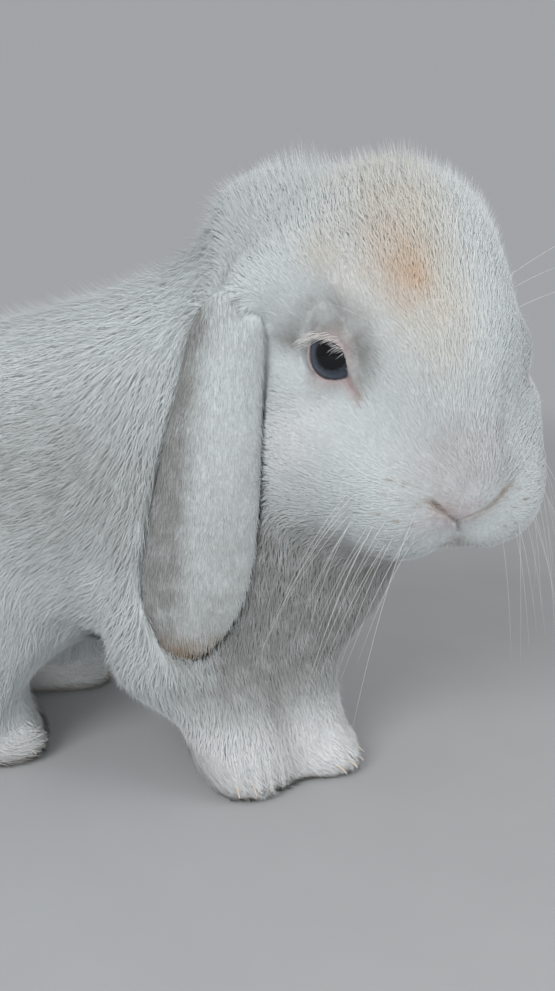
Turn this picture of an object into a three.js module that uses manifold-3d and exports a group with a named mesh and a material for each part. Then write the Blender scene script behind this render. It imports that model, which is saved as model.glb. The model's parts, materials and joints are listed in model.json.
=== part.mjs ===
// A lop-eared rabbit sitting upright on its hind feet, forelegs straight, head turned to its right.
// Millimetres, +Z up. The rabbit's rump is towards -X, its chest towards +X and its right side towards -Y.
// The origin is on the floor, under the middle of the whole figure.
//
// The body is one smooth closed form, the union of rounded bones and muscles, modelled out to the tips of
// the coat. It is meshed once and then parted into its named pieces with thin cuts.
import * as THREE from 'three';
import { mergeVertices } from 'three/addons/utils/BufferGeometryUtils.js';
import Module from 'manifold-3d';

const wasm = await Module();
wasm.setup();

// ---------------------------------------------------------------- driving sizes
const CUT = 0.5; // width of each thin cut between two pieces
const GAP = 0.3; // air between a piece and the hollow it sits in
const CELL = { trunk: 15, head: 8.6, leg: 9.4 }; // mesh size on each region

const HEAD = { at: [43, -46, 152], yaw: -66, nod: 35, roll: 6 }; // midpoint between the eyes
const EYE = { forward: 3, side: 27.5, up: 4, radius: 9.6 };
const EAR = { length: 120, halfWidth: 19.5, halfThick: 4.4, bow: 95 };
// Each ear's top in the head's frame, the compass bearing its outside faces, and how far the tip hangs from
// under the top.
const HANG = {
  right: { root: [-23, -54, 6], faces: -97, lean: [-17, -7] },
  left: { root: [-27, 46.5, 2], faces: -18, lean: [-36, 8] },
};

// ---------------------------------------------------------------- frames and rounded forms
const rad = THREE.MathUtils.degToRad;

// A frame at a point, turned about Z, then nose-down about its own Y, then rolled about its own X.
function frameAt(at, yaw = 0, nod = 0, roll = 0) {
  const turn = new THREE.Matrix4()
    .makeRotationZ(rad(yaw))
    .multiply(new THREE.Matrix4().makeRotationY(rad(nod)))
    .multiply(new THREE.Matrix4().makeRotationX(rad(roll)));
  return turn.setPosition(...at);
}

const WORLD = frameAt([0, 0, 0]);
const HEAD_FRAME = frameAt(HEAD.at, HEAD.yaw, HEAD.nod, HEAD.roll);

// Distance-like value of an ellipsoid, negative inside.
function ellipsoid(frame, centre, [a, b, c], turn = [0, 0, 0]) {
  const place = frame.clone().multiply(frameAt(centre, ...turn));
  const e = place.invert().elements;
  return (x, y, z) => {
    const u = (e[0] * x + e[4] * y + e[8] * z + e[12]) / a;
    const v = (e[1] * x + e[5] * y + e[9] * z + e[13]) / b;
    const w = (e[2] * x + e[6] * y + e[10] * z + e[14]) / c;
    const near = Math.hypot(u, v, w);
    const slope = Math.hypot(u / a, v / b, w / c);
    return slope < 1e-9 ? -Math.min(a, b, c) : (near * (near - 1)) / slope;
  };
}

// A limb between two points, thicker at one end than at the other.
function limb(frame, from, to, r1, r2) {
  const p = new THREE.Vector3(...from).applyMatrix4(frame);
  const q = new THREE.Vector3(...to).applyMatrix4(frame);
  const axis = q.clone().sub(p);
  const l2 = axis.lengthSq();
  return (x, y, z) => {
    const px = x - p.x;
    const py = y - p.y;
    const pz = z - p.z;
    const t = THREE.MathUtils.clamp((px * axis.x + py * axis.y + pz * axis.z) / l2, 0, 1);
    return Math.hypot(px - t * axis.x, py - t * axis.y, pz - t * axis.z) - (r1 + (r2 - r1) * t);
  };
}

// A form with hollows pressed into it, their rims rounded about as wide as `soft`.
function hollow(soft, form, ...dents) {
  return (x, y, z) => {
    let d = form(x, y, z);
    for (const dent of dents) {
      const next = -dent(x, y, z);
      const h = Math.max(soft - Math.abs(d - next), 0) / soft;
      d = Math.max(d, next) + (h * h * soft) / 4;
    }
    return d;
  };
}

// Union of forms whose creases are filled with a fillet about as wide as `soft`.
function blend(soft, ...forms) {
  return (x, y, z) => {
    let d = forms[0](x, y, z);
    for (let i = 1; i < forms.length; i++) {
      const next = forms[i](x, y, z);
      const h = Math.max(soft - Math.abs(d - next), 0) / soft;
      d = Math.min(d, next) - (h * h * soft) / 4;
    }
    return d;
  };
}

// ---------------------------------------------------------------- the rabbit's forms
const trunk = blend(
  30,
  ellipsoid(WORLD, [-150, 4, 70], [52, 56, 52]), // rump
  ellipsoid(WORLD, [-108, 0, 93], [58, 52, 63], [0, -14]), // loin and belly
  ellipsoid(WORLD, [-58, -4, 111], [56, 42, 60], [-10, -15]), // ribs
  ellipsoid(WORLD, [-28, -9, 126], [38, 32, 48], [-15, 0]), // shoulders
  ellipsoid(WORLD, [5, -20, 86], [41, 31, 46], [-20, 0]), // breast
);
const neck = blend(
  18,
  limb(WORLD, [-12, -3, 146], [16, -16, 160], 33, 34),
  ellipsoid(WORLD, [0, -10, 186], [27, 26, 27]), // nape, bunched behind the crown
);

const head = blend(
  12,
  ellipsoid(HEAD_FRAME, [-22, 0, 12], [42, 33, 34.5]), // skull
  ellipsoid(HEAD_FRAME, [3, 0, 4], [26, 31, 22]), // brow
  ellipsoid(HEAD_FRAME, [9, 24, -26], [30, 24, 28], [-10, 0, 0]), // left cheek
  ellipsoid(HEAD_FRAME, [9, -24, -26], [30, 24, 28], [10, 0, 0]), // right cheek
  limb(HEAD_FRAME, [10, 0, 2], [36, 0, -15], 24, 17), // bridge of the nose
  ellipsoid(HEAD_FRAME, [31, 15, -31], [21, 20, 20], [-15, 0, 0]), // left whisker pad
  ellipsoid(HEAD_FRAME, [31, -15, -31], [21, 20, 20], [15, 0, 0]), // right whisker pad
  ellipsoid(HEAD_FRAME, [26, 0, -42], [20, 16, 13]), // chin
  limb(HEAD_FRAME, [-30, 20, 24], [-28, 41, 5], 12, 9), // root of the left ear
  limb(HEAD_FRAME, [-30, -20, 24], [-25, -45, 9], 12, 9), // root of the right ear
);

// A lop ear: a flat flap hanging from its root, widest two thirds of the way down, its edges bowed towards
// the cheek. In the flap's own frame x is across the thickness, y across the width and z is up.
function earGeometry({ root, faces, lean }, grow = 0) {
  const top = new THREE.Vector3(...root).applyMatrix4(HEAD_FRAME);
  const frame = frameAt(top.toArray(), faces);
  const rings = 15;
  const sides = 14;
  const points = [];
  const faceList = [];
  const put = (s, w, t, turn) => {
    const y = w * Math.cos(turn);
    const x = t * Math.sin(turn) - (y * y) / EAR.bow;
    const p = new THREE.Vector3(x, y, 6 + grow - s * (EAR.length + 2 * grow)).applyMatrix4(frame);
    points.push(p.x + lean[0] * s, p.y + lean[1] * s, p.z);
  };
  put(0, 0, 0, 0);
  for (let i = 1; i < rings; i++) {
    const s = 0.5 - 0.5 * Math.cos((Math.PI * i) / rings);
    const head = Math.sqrt(1 - Math.max(0, 1 - s / 0.14) ** 2);
    const foot = Math.sqrt(1 - Math.max(0, (s - 0.76) / 0.24) ** 2);
    const swell = 0.66 + 0.34 * THREE.MathUtils.smoothstep(s, 0.05, 0.7);
    for (let j = 0; j < sides; j++) {
      const turn = (2 * Math.PI * j) / sides;
      put(s, EAR.halfWidth * swell * head * foot + grow, EAR.halfThick * Math.min(head, foot) + grow, turn);
    }
  }
  put(1, 0, 0, 0);
  const last = points.length / 3 - 1;
  for (let j = 0; j < sides; j++) {
    const k = (j + 1) % sides;
    faceList.push(0, 1 + k, 1 + j, last, last - sides + j, last - sides + k);
    for (let i = 0; i < rings - 2; i++) {
      const a = 1 + i * sides;
      const b = a + sides;
      faceList.push(a + j, b + k, b + j, a + j, a + k, b + k);
    }
  }
  return new THREE.BufferGeometry()
    .setAttribute('position', new THREE.Float32BufferAttribute(points, 3))
    .setIndex(faceList);
}

function foreleg(shoulder, elbow, wrist, paw, toes) {
  return blend(
    10,
    limb(WORLD, shoulder, elbow, 28, 21),
    limb(WORLD, elbow, wrist, 21, 14.5),
    limb(WORLD, wrist, paw, 14.5, 14),
    limb(WORLD, paw, toes, 14, 11),
  );
}
const forelegs = {
  right: foreleg([-34, -26, 90], [-37, -40, 50], [-17, -46, 27], [-14, -47, 12], [-10, -54, 9]),
  left: foreleg([0, -22, 92], [-2, -24, 56], [6, -32, 28], [8, -34, 12], [20, -40, 8]),
};

function hindleg(side, x, y) {
  return blend(
    16,
    ellipsoid(WORLD, [x - 38, y + side * 6, 58], [50, 26, 44], [0, -18]), // thigh
    limb(WORLD, [x - 15, y + side * 6, 34], [x - 43, y + side * 2, 18], 16, 13), // shank
    limb(WORLD, [x - 63, y, 11], [x - 9, y + side * 1, 10], 11, 11), // long foot
    limb(WORLD, [x - 19, y + side * 1, 12], [x, y + side * 2, 7], 13, 8.5), // toes
  );
}
const hindlegs = { right: hindleg(-1, -97, -28), left: hindleg(1, -84, 32) };
const tail = ellipsoid(WORLD, [-202, 6, 40], [18, 16, 20]);

const body = hollow(
  9,
  blend(16, blend(22, trunk, neck), head, forelegs.right, forelegs.left, hindlegs.right, hindlegs.left, tail),
  ellipsoid(HEAD_FRAME, [4, 47, 5], [14, 12, 10]), // left orbit
  ellipsoid(HEAD_FRAME, [4, -47, 5], [14, 12, 10]), // right orbit
);

// ---------------------------------------------------------------- meshing and cutting
// Meshes the surface where `form` is zero, inside the box from `low` to `high`, with surface nets.
function mesh(form, low, high, cell) {
  const n = [0, 1, 2].map((i) => Math.ceil((high[i] - low[i]) / cell) + 1);
  const index = (i, j, k) => (k * n[1] + j) * n[0] + i;
  const value = new Float32Array(n[0] * n[1] * n[2]);
  for (let k = 0; k < n[2]; k++)
    for (let j = 0; j < n[1]; j++)
      for (let i = 0; i < n[0]; i++)
        value[index(i, j, k)] = form(low[0] + i * cell, low[1] + j * cell, low[2] + k * cell);

  const points = [];
  const pointOf = new Map();
  const corners = [];
  for (let c = 0; c < 8; c++) corners.push([c & 1, (c >> 1) & 1, c >> 2]);
  const edges = [];
  for (let a = 0; a < 8; a++)
    for (const bit of [1, 2, 4]) if (!(a & bit)) edges.push([a, a | bit]);

  for (let k = 0; k < n[2] - 1; k++)
    for (let j = 0; j < n[1] - 1; j++)
      for (let i = 0; i < n[0] - 1; i++) {
        const v = corners.map(([a, b, c]) => value[index(i + a, j + b, k + c)]);
        const sum = [0, 0, 0];
        let count = 0;
        for (const [a, b] of edges) {
          if (v[a] < 0 === v[b] < 0) continue;
          const t = v[a] / (v[a] - v[b]);
          for (let m = 0; m < 3; m++) sum[m] += corners[a][m] + t * (corners[b][m] - corners[a][m]);
          count++;
        }
        if (!count) continue;
        const p = [i, j, k].map((q, m) => low[m] + (q + sum[m] / count) * cell);
        pointOf.set(index(i, j, k), points.length / 3);
        points.push(...settle(form, p, cell));
      }

  const faces = [];
  const step = [1, n[0], n[0] * n[1]];
  for (let k = 1; k < n[2] - 1; k++)
    for (let j = 1; j < n[1] - 1; j++)
      for (let i = 1; i < n[0] - 1; i++) {
        const at = index(i, j, k);
        for (let m = 0; m < 3; m++) {
          const inside = value[at] < 0;
          if (inside === value[at + step[m]] < 0) continue;
          const du = step[(m + 1) % 3];
          const dv = step[(m + 2) % 3];
          const q = [at - du - dv, at - dv, at, at - du].map((c) => pointOf.get(c));
          if (!inside) q.reverse();
          faces.push(...split(points, q));
        }
      }
  return new THREE.BufferGeometry()
    .setAttribute('position', new THREE.Float32BufferAttribute(points, 3))
    .setIndex(faces);
}

// Moves a point onto the surface of `form`, by at most half a cell.
function settle(form, p, cell) {
  const start = [...p];
  const e = 0.2;
  for (let round = 0; round < 3; round++) {
    const d = form(...p);
    const g = [0, 1, 2].map((m) => {
      const q = [...p];
      q[m] += e;
      return (form(...q) - d) / e;
    });
    const g2 = g[0] * g[0] + g[1] * g[1] + g[2] * g[2];
    if (g2 > 1e-6) p = p.map((c, m) => c - (d * g[m]) / g2);
  }
  return p.map((c, m) => THREE.MathUtils.clamp(c, start[m] - cell / 2, start[m] + cell / 2));
}

// Two triangles over a four-sided face, along its shorter diagonal.
function split(points, [a, b, c, d]) {
  const gap = (p, q) =>
    Math.hypot(...[0, 1, 2].map((m) => points[3 * p + m] - points[3 * q + m]));
  return gap(a, c) <= gap(b, d) ? [a, b, c, a, c, d] : [b, c, d, b, d, a];
}

function solid(geometry) {
  const bare = geometry.clone();
  for (const name of Object.keys(bare.attributes)) if (name !== 'position') bare.deleteAttribute(name);
  const merged = mergeVertices(bare, 1e-4);
  return new wasm.Manifold(
    new wasm.Mesh({
      numProp: 3,
      vertProperties: new Float32Array(merged.attributes.position.array),
      triVerts: new Uint32Array(merged.index.array),
    }),
  );
}

function geometryOf(made) {
  const { numProp, vertProperties, triVerts } = made.getMesh();
  const points = [];
  for (let i = 0; i < vertProperties.length; i += numProp)
    points.push(vertProperties[i], vertProperties[i + 1], vertProperties[i + 2]);
  return new THREE.BufferGeometry()
    .setAttribute('position', new THREE.Float32BufferAttribute(points, 3))
    .setIndex([...triVerts]);
}

// The rabbit inside a box, meshed at its own fineness and closed by the box's sides.
function bodyIn([x0, x1], [y0, y1], [z0, z1], cell) {
  const clipped = (x, y, z) =>
    Math.max(body(x, y, z), x0 - x, x - x1, y0 - y, y - y1, z0 - z, z - z1);
  const room = 1.7 * cell;
  return solid(mesh(clipped, [x0 - room, y0 - room, z0 - room], [x1 + room, y1 + room, z1 + room], cell));
}

// A box between two corners in a frame, let out by `grow` on every side.
function block(frame, low, high, grow = 0) {
  const size = high.map((h, i) => h - low[i] + 2 * grow);
  const centre = high.map((h, i) => (h + low[i]) / 2);
  return solid(new THREE.BoxGeometry(...size).translate(...centre).applyMatrix4(frame));
}

// A ball stretched to three radii in a frame, let out by `grow`.
function ball(frame, centre, radii, grow = 0, across = 16, down = 10) {
  const made = new THREE.SphereGeometry(1, across, down).rotateX(Math.PI / 2);
  made.scale(...radii.map((r) => r + grow)).translate(...centre);
  return solid(made.applyMatrix4(frame));
}

// The one body of a piece, without any crumb a cut has left beside it.
function whole(made) {
  const bodies = made.decompose();
  return bodies.reduce((best, b) => (b.volume() > best.volume() ? b : best));
}

// ---------------------------------------------------------------- the cuts
const FAR = 400;
const underfoot = block(WORLD, [-FAR, -FAR, -100], [FAR, FAR, 0]);
// In front of the throat and nape, in front of the shoulders, below the elbows, and below the wrists.
const cuts = {
  head: { frame: frameAt([14, -12, 192], HEAD.yaw, -21), low: [0, -FAR, -FAR], high: [FAR, FAR, FAR] },
  neck: { frame: frameAt([-22, -2, 172], -40, -35), low: [0, -FAR, -FAR], high: [FAR, FAR, FAR] },
  forelegs: { frame: frameAt([-10, -30, 62], 0, -21), low: [-52, -90, -FAR], high: [90, 90, 0] },
  betweenForelegs: { frame: frameAt([-11, -36, 32], 27, -14), low: [-FAR, -FAR, -FAR], high: [0, FAR, FAR] },
  forepaws: { frame: WORLD, low: [-90, -90, -20], high: [90, 90, 21] },
};
const keep = (made, { frame, low, high }) => made.intersect(block(frame, low, high));
const drop = (made, { frame, low, high }) => made.subtract(block(frame, low, high, CUT));

const pieces = {};

const figure = bodyIn([-260, 150], [-150, 140], [-10, 260], CELL.trunk).subtract(underfoot);
const skull = bodyIn([-30, 120], [-120, 60], [60, 240], CELL.head);
pieces.head = keep(skull, cuts.head);
let rest = drop(figure, cuts.head);
pieces.neck = keep(rest, cuts.neck);
rest = drop(rest, cuts.neck);

const fore = drop(bodyIn([-80, 60], [-100, 40], [-10, 110], CELL.leg).subtract(underfoot), cuts.neck);
const lower = keep(fore, cuts.forelegs);
rest = drop(rest, cuts.forelegs);
const halves = { right: keep(lower, cuts.betweenForelegs), left: drop(lower, cuts.betweenForelegs) };
for (const [side, half] of Object.entries(halves)) {
  pieces[`forepaw_${side}`] = keep(half, cuts.forepaws);
  pieces[`foreleg_${side}`] = drop(half, cuts.forepaws);
}

const hind = bodyIn([-200, -70], [-70, 75], [-10, 40], CELL.leg).subtract(underfoot);
for (const [side, out] of [['right', -1], ['left', 1]]) {
  const sole = {
    frame: WORLD,
    low: out < 0 ? [-190, -90, -20] : [-190, 3, -20],
    high: out < 0 ? [-75, -3, 19] : [-62, 90, 19],
  };
  pieces[`hind_foot_${side}`] = keep(hind, sole);
  rest = drop(rest, sole);
}
for (const [side, out] of [['right', -1], ['left', 1]]) {
  const x = out < 0 ? -136 : -126;
  const haunch = (grow) => ball(WORLD, [x, out * 46 + 4, 54], [52, 34, 50], grow, 14, 10);
  pieces[`thigh_${side}`] = rest.intersect(haunch(0));
  rest = rest.subtract(haunch(CUT));
}
const rumpEnd = (grow) => ball(WORLD, [-206, 6, 42], [19, 24, 26], grow, 12, 8);
pieces.tail = rest.intersect(rumpEnd(0));
pieces.trunk = rest.subtract(rumpEnd(CUT));

// ---------------------------------------------------------------- ears, eyes and claws
for (const side of ['right', 'left']) {
  pieces[`ear_${side}`] = solid(earGeometry(HANG[side]));
  const room = solid(earGeometry(HANG[side], GAP));
  for (const name of ['head', 'neck', 'trunk', 'foreleg_right', 'foreleg_left'])
    pieces[name] = pieces[name].subtract(room);
}

for (const [side, out] of [['right', -1], ['left', 1]]) {
  const globe = (grow) =>
    ball(HEAD_FRAME, [EYE.forward, out * EYE.side, EYE.up], [EYE.radius, EYE.radius, EYE.radius], grow);
  pieces[`eye_${side}`] = globe(0);
  pieces.head = pieces.head.subtract(globe(GAP));
}

// Four claws across the front of each foot.
const FEET = {
  forepaw_right: { at: [-10, -54, 5], heading: -60, reach: 8.5, spread: 5.2 },
  forepaw_left: { at: [20, -40, 5], heading: -27, reach: 8.5, spread: 5.2 },
  hind_foot_right: { at: [-97, -30, 4.5], heading: 0, reach: 6.5, spread: 4.6 },
  hind_foot_left: { at: [-84, 34, 4.5], heading: 0, reach: 6.5, spread: 4.6 },
};
const CLAW = { radius: 1.5, length: 9, droop: 16 };
for (const [foot, { at, heading, reach, spread }] of Object.entries(FEET))
  for (let toe = 0; toe < 4; toe++) {
    const across = (toe - 1.5) * spread;
    const back = 0.035 * across * across;
    const frame = frameAt(at, heading).multiply(frameAt([reach - back, across, 0], across * 1.5, CLAW.droop));
    const claw = (grow) => {
      const cone = new THREE.ConeGeometry(CLAW.radius + grow, CLAW.length + 2 * grow, 5);
      return solid(cone.rotateZ(-Math.PI / 2).applyMatrix4(frame));
    };
    pieces[`${foot}_claw_${toe + 1}`] = claw(0);
    pieces[foot] = pieces[foot].subtract(claw(GAP));
  }

// ---------------------------------------------------------------- the named pieces
const looks = {
  fur: new THREE.MeshStandardMaterial({ color: 0xe9e7e2, roughness: 0.9, metalness: 0 }),
  eye: new THREE.MeshStandardMaterial({ color: 0x17151a, roughness: 0.1, metalness: 0 }),
  claw: new THREE.MeshStandardMaterial({ color: 0xbfae98, roughness: 0.5, metalness: 0 }),
};
const group = new THREE.Group();
for (const [name, made] of Object.entries(pieces)) {
  const look = name.startsWith('eye') ? looks.eye : name.includes('claw') ? looks.claw : looks.fur;
  const piece = new THREE.Mesh(geometryOf(whole(made)), look);
  piece.name = name;
  group.add(piece);
}

const bounds = new THREE.Box3().setFromObject(group);
const middle = bounds.getCenter(new THREE.Vector3());
group.position.set(-middle.x, -middle.y, -bounds.min.z);

export default group;
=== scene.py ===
"""Skin, coat, eyes, claws and whiskers of a sitting lop rabbit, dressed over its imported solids.

Metres, +Z up. The rump is towards -X, the chest towards +X and the rabbit's right side towards -Y.
Places on the head are written in millimetres in the head's own frame: x forward, y to its left and z up.
The eyes lie at EYE_AT in it, the left one as written and the right one mirrored.
"""
import json
import math

import bpy
import numpy as np
from bpy.props import FloatProperty, FloatVectorProperty, IntProperty, PointerProperty
from mathutils import Matrix, Vector
from mathutils.bvhtree import BVHTree
from mathutils.kdtree import KDTree

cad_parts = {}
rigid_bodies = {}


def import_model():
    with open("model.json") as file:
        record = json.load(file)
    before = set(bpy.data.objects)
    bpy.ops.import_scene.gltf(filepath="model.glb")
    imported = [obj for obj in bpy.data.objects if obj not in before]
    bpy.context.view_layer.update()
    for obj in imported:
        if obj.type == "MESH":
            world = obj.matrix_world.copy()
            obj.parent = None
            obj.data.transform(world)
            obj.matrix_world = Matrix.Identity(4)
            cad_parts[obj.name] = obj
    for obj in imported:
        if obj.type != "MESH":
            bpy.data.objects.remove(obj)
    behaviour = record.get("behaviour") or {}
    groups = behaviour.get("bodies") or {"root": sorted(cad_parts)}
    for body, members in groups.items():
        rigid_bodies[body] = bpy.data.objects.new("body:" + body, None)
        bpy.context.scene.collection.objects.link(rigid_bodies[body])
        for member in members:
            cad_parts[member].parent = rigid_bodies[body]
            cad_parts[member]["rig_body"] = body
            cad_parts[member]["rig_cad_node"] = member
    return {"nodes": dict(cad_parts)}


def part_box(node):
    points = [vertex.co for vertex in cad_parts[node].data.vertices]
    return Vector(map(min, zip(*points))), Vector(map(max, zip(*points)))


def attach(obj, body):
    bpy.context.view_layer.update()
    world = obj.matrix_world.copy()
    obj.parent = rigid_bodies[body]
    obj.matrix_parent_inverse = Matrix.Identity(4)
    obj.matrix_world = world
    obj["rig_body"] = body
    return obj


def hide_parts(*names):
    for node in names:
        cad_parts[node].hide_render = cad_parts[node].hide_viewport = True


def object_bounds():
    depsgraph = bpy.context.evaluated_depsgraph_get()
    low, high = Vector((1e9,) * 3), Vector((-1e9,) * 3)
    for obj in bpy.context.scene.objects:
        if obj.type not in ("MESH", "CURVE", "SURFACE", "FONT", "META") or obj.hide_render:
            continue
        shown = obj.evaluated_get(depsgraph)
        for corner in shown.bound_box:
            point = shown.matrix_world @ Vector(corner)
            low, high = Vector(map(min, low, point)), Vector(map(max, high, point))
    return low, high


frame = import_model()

bl_info = {
    "name": "Lop Rabbit",
    "version": (1, 0, 0),
    "blender": (4, 5, 0),
    "location": "3D View > Sidebar > Rabbit",
    "description": "Dresses the solids of a sitting lop rabbit in skin, coat, eyes, claws and whiskers",
    "category": "Object",
}

# ---------------------------------------------------------------- the solids
MM = 0.001
NODES = frame["nodes"]
SOLIDS_BOX = [[float(c) for c in corner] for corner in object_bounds()]
FLOOR = SOLIDS_BOX[0][2]
MIDDLE = (np.array(SOLIDS_BOX[0]) + np.array(SOLIDS_BOX[1])) / 2
SIDES = {"right": -1, "left": 1}
BOTH, RIGHT, LEFT = (-1, 1), (-1,), (1,)
EARS = [name for name in NODES if name.startswith("ear_")]
EYES = [name for name in NODES if name.startswith("eye_")]
CLAWS = [name for name in NODES if "_claw_" in name]
FLESH = [name for name in NODES if name not in EARS + EYES + CLAWS]

# ---------------------------------------------------------------- the head's own frame
# Its turn to the rabbit's right, its nod and its roll. Every place on the head hangs on them.
HEAD_YAW = math.radians(-66)
HEAD_NOD = math.radians(35)
HEAD_ROLL = math.radians(6)
EYE_AT = (3.0, 27.5, 4.0)  # forward, to the side, up
EYE_RADIUS = 9.6
NOSE = (52.0, 0.0, -24.0)  # where the cleft and the nostrils meet
HEAD_TURN = np.array(
    Matrix.Rotation(HEAD_YAW, 3, "Z")
    @ Matrix.Rotation(HEAD_NOD, 3, "Y")
    @ Matrix.Rotation(HEAD_ROLL, 3, "X")
)


def box_of(node):
    """The low and the high corner of a solid's box."""
    low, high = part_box(node)
    return np.array(low), np.array(high)


def middle(node):
    low, high = box_of(node)
    return (low + high) / 2


def near_box(points, node, margin):
    """Which points lie in a solid's box, or closer to it than the margin."""
    low, high = box_of(node)
    return np.all((points > low - margin) & (points < high + margin), axis=1)


EYES_MIDDLE = (middle("eye_right") + middle("eye_left")) / 2
HEAD_AT = EYES_MIDDLE - HEAD_TURN @ np.array([EYE_AT[0], 0, EYE_AT[2]]) * MM


def to_head(points):
    """Places in the head's frame, in millimetres."""
    return (points - HEAD_AT) @ HEAD_TURN / MM


def from_head(local):
    """Places in the scene of points given in the head's frame."""
    return HEAD_AT + np.asarray(local, float) @ HEAD_TURN.T * MM


def from_eye(local, side, out=0.0):
    """How far places on the head are from the middle of an eye, or from a point that lies outside it."""
    eye = (EYE_AT[0] + out, side * (EYE_AT[1] + out), EYE_AT[2])
    return np.linalg.norm(local - eye, axis=1)


# ---------------------------------------------------------------- small tools
def unit(vectors):
    length = np.linalg.norm(vectors, axis=-1, keepdims=True)
    return vectors / np.maximum(length, 1e-12)


def step(value, low, high):
    """0 below `low`, 1 above `high`, and smooth between them."""
    t = np.clip((value - low) / (high - low), 0, 1)
    return t * t * (3 - 2 * t)


def near_line(points, start, end):
    """Distance of each point from a straight line between two points, and how far along it the point is."""
    start = np.array(start, float)
    line = np.array(end, float) - start
    along = np.clip((points - start) @ line / (line @ line), 0, 1)
    return np.linalg.norm(points - start - along[:, None] * line, axis=1), along


def bump_at(points, centre, radii):
    """A rounded hill, 1 at its centre, that fades over three radii."""
    away = (points - np.array(centre, float)) / np.array(radii, float)
    return np.exp(-(away * away).sum(1))


def select_only(*objects):
    bpy.ops.object.select_all(action="DESELECT")
    for obj in objects:
        obj.select_set(True)
    bpy.context.view_layer.objects.active = objects[0]


def apply_modifier(obj, kind, **settings):
    select_only(obj)
    modifier = obj.modifiers.new(kind.title(), kind)
    for key, value in settings.items():
        setattr(modifier, key, value)
    bpy.ops.object.modifier_apply(modifier=modifier.name)


def edit_all(obj, operator, **settings):
    """Runs an operator on the whole of a mesh in edit mode."""
    select_only(obj)
    bpy.ops.object.mode_set(mode="EDIT")
    bpy.ops.mesh.select_all(action="SELECT")
    operator(**settings)
    bpy.ops.object.mode_set(mode="OBJECT")


def add_object(name, data):
    obj = bpy.data.objects.new(name, data)
    bpy.context.scene.collection.objects.link(obj)
    return obj


def column(collection, key, width, kind=float):
    """One property of a mesh's vertices, edges or loops as an array."""
    values = np.empty(len(collection) * width, kind)
    collection.foreach_get(key, values)
    return values.reshape(-1, width) if width > 1 else values


def points_of(mesh):
    return column(mesh.vertices, "co", 3)


def normals_of(mesh):
    return column(mesh.vertices, "normal", 3)


def edges_of(mesh):
    return column(mesh.edges, "vertices", 2, int)


def move_points(mesh, points):
    mesh.vertices.foreach_set("co", points.ravel())
    mesh.update()


def relax(values, edges, rounds, share=0.5):
    """Evens out values over a mesh, towards the mean of each vertex's neighbours."""
    first, second = edges.T
    n = len(values)
    count = np.maximum(np.bincount(np.concatenate([first, second]), minlength=n), 1)
    values = values.copy()
    for _ in range(rounds):
        for k in range(values.shape[1]):
            total = np.bincount(first, values[second, k], n) + np.bincount(second, values[first, k], n)
            values[:, k] += share * (total / count - values[:, k])
    return values


def smooth_form(mesh, rounds, weight=1.0):
    """Smooths a mesh without shrinking it, by rounds of relaxing and letting out."""
    edges = edges_of(mesh)
    points = points_of(mesh)
    for _ in range(rounds):
        points += weight * (relax(points, edges, 1, 0.55) - points)
        points += weight * (relax(points, edges, 1, -0.57) - points)
    move_points(mesh, points)


def own_copy(name):
    """A copy of a solid whose loose triangles are merged, which isn't part of the frame."""
    obj = NODES[name].copy()
    obj.data = obj.data.copy()
    obj.parent = None
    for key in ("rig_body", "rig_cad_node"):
        del obj[key]
    bpy.context.scene.collection.objects.link(obj)
    edit_all(obj, bpy.ops.mesh.remove_doubles, threshold=1e-6)
    return obj


def finish_piece(obj, name, material):
    """Gives a finished mesh its name, smooth shading and material."""
    obj.name = obj.data.name = name
    obj.data.shade_smooth()
    obj.data.materials.clear()
    obj.data.materials.append(material)


def made_skin(piece):
    """The skin, which has to be made before some other pieces."""
    skin = bpy.data.objects.get("skin")
    if skin is None:
        raise RuntimeError(f"the skin has to be made before the {piece}")
    return skin


def dress(piece, slot, *nodes):
    """Puts a finished piece on the rabbit, in place of the solids it stands for."""
    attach(piece, "root")
    if nodes:
        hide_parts(*nodes)


# ---------------------------------------------------------------- sizes and colours a user would change
def share_of(name, description, low, high):
    return FloatProperty(name=name, description=description, default=1.0, min=low, max=high)


def tint_of(name, description, default):
    return FloatVectorProperty(
        name=name, description=description, default=default, subtype="COLOR", min=0, max=1
    )


class RabbitLooks(bpy.types.PropertyGroup):
    coat_length: share_of("Coat length", "Length of the coat, as a share of its usual length", 0.6, 1.2)
    coat_fullness: share_of("Coat fullness", "Number of tufts, as a share of the full coat", 0.05, 1.1)
    tuft_width: share_of("Tuft width", "Width of the tufts, as a share of their usual width", 0.5, 2.0)
    skin_cell: FloatProperty(
        name="Skin cell", description="Mesh size of the skin", default=0.0017, min=0.001, max=0.004,
        unit="LENGTH",
    )
    whiskers: IntProperty(
        name="Whiskers", description="Long whiskers on each side of the muzzle", default=19, min=0, max=19
    )
    white: tint_of("White", "Main colour of the coat", (0.775, 0.83, 0.845))
    # Painted light: a whiter tint that stands in for the light on the lower feet, the near cheek and the
    # near brow.
    painted_light: tint_of("Pale", "Whitest fur, on the feet, cheeks and brows", (0.96, 0.975, 0.98))
    cream: tint_of("Cream", "Cream on the crown and bridge", (0.72, 0.67, 0.58))
    peach: tint_of("Peach", "Smudge on the forehead", (0.70, 0.53, 0.40))
    pink: tint_of("Pink", "Bare skin of the lids and nose", (0.56, 0.36, 0.38))
    # Brown of discoloured fur, and also a brown painted shade beside the folds of the nose and mouth.
    stain_and_shade: tint_of("Stain", "Brown of stained fur", (0.30, 0.20, 0.12))
    # Painted shade: a dark tint laid into the coat where shadow falls: under the head, round the eyes, on
    # the flanks, ears and nape, between the forelegs and in folds.
    shade: tint_of("Shade", "Greyer fur of the throat, eye sockets and undersides", (0.355, 0.362, 0.352))


def looks():
    return bpy.context.scene.lop_rabbit


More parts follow.
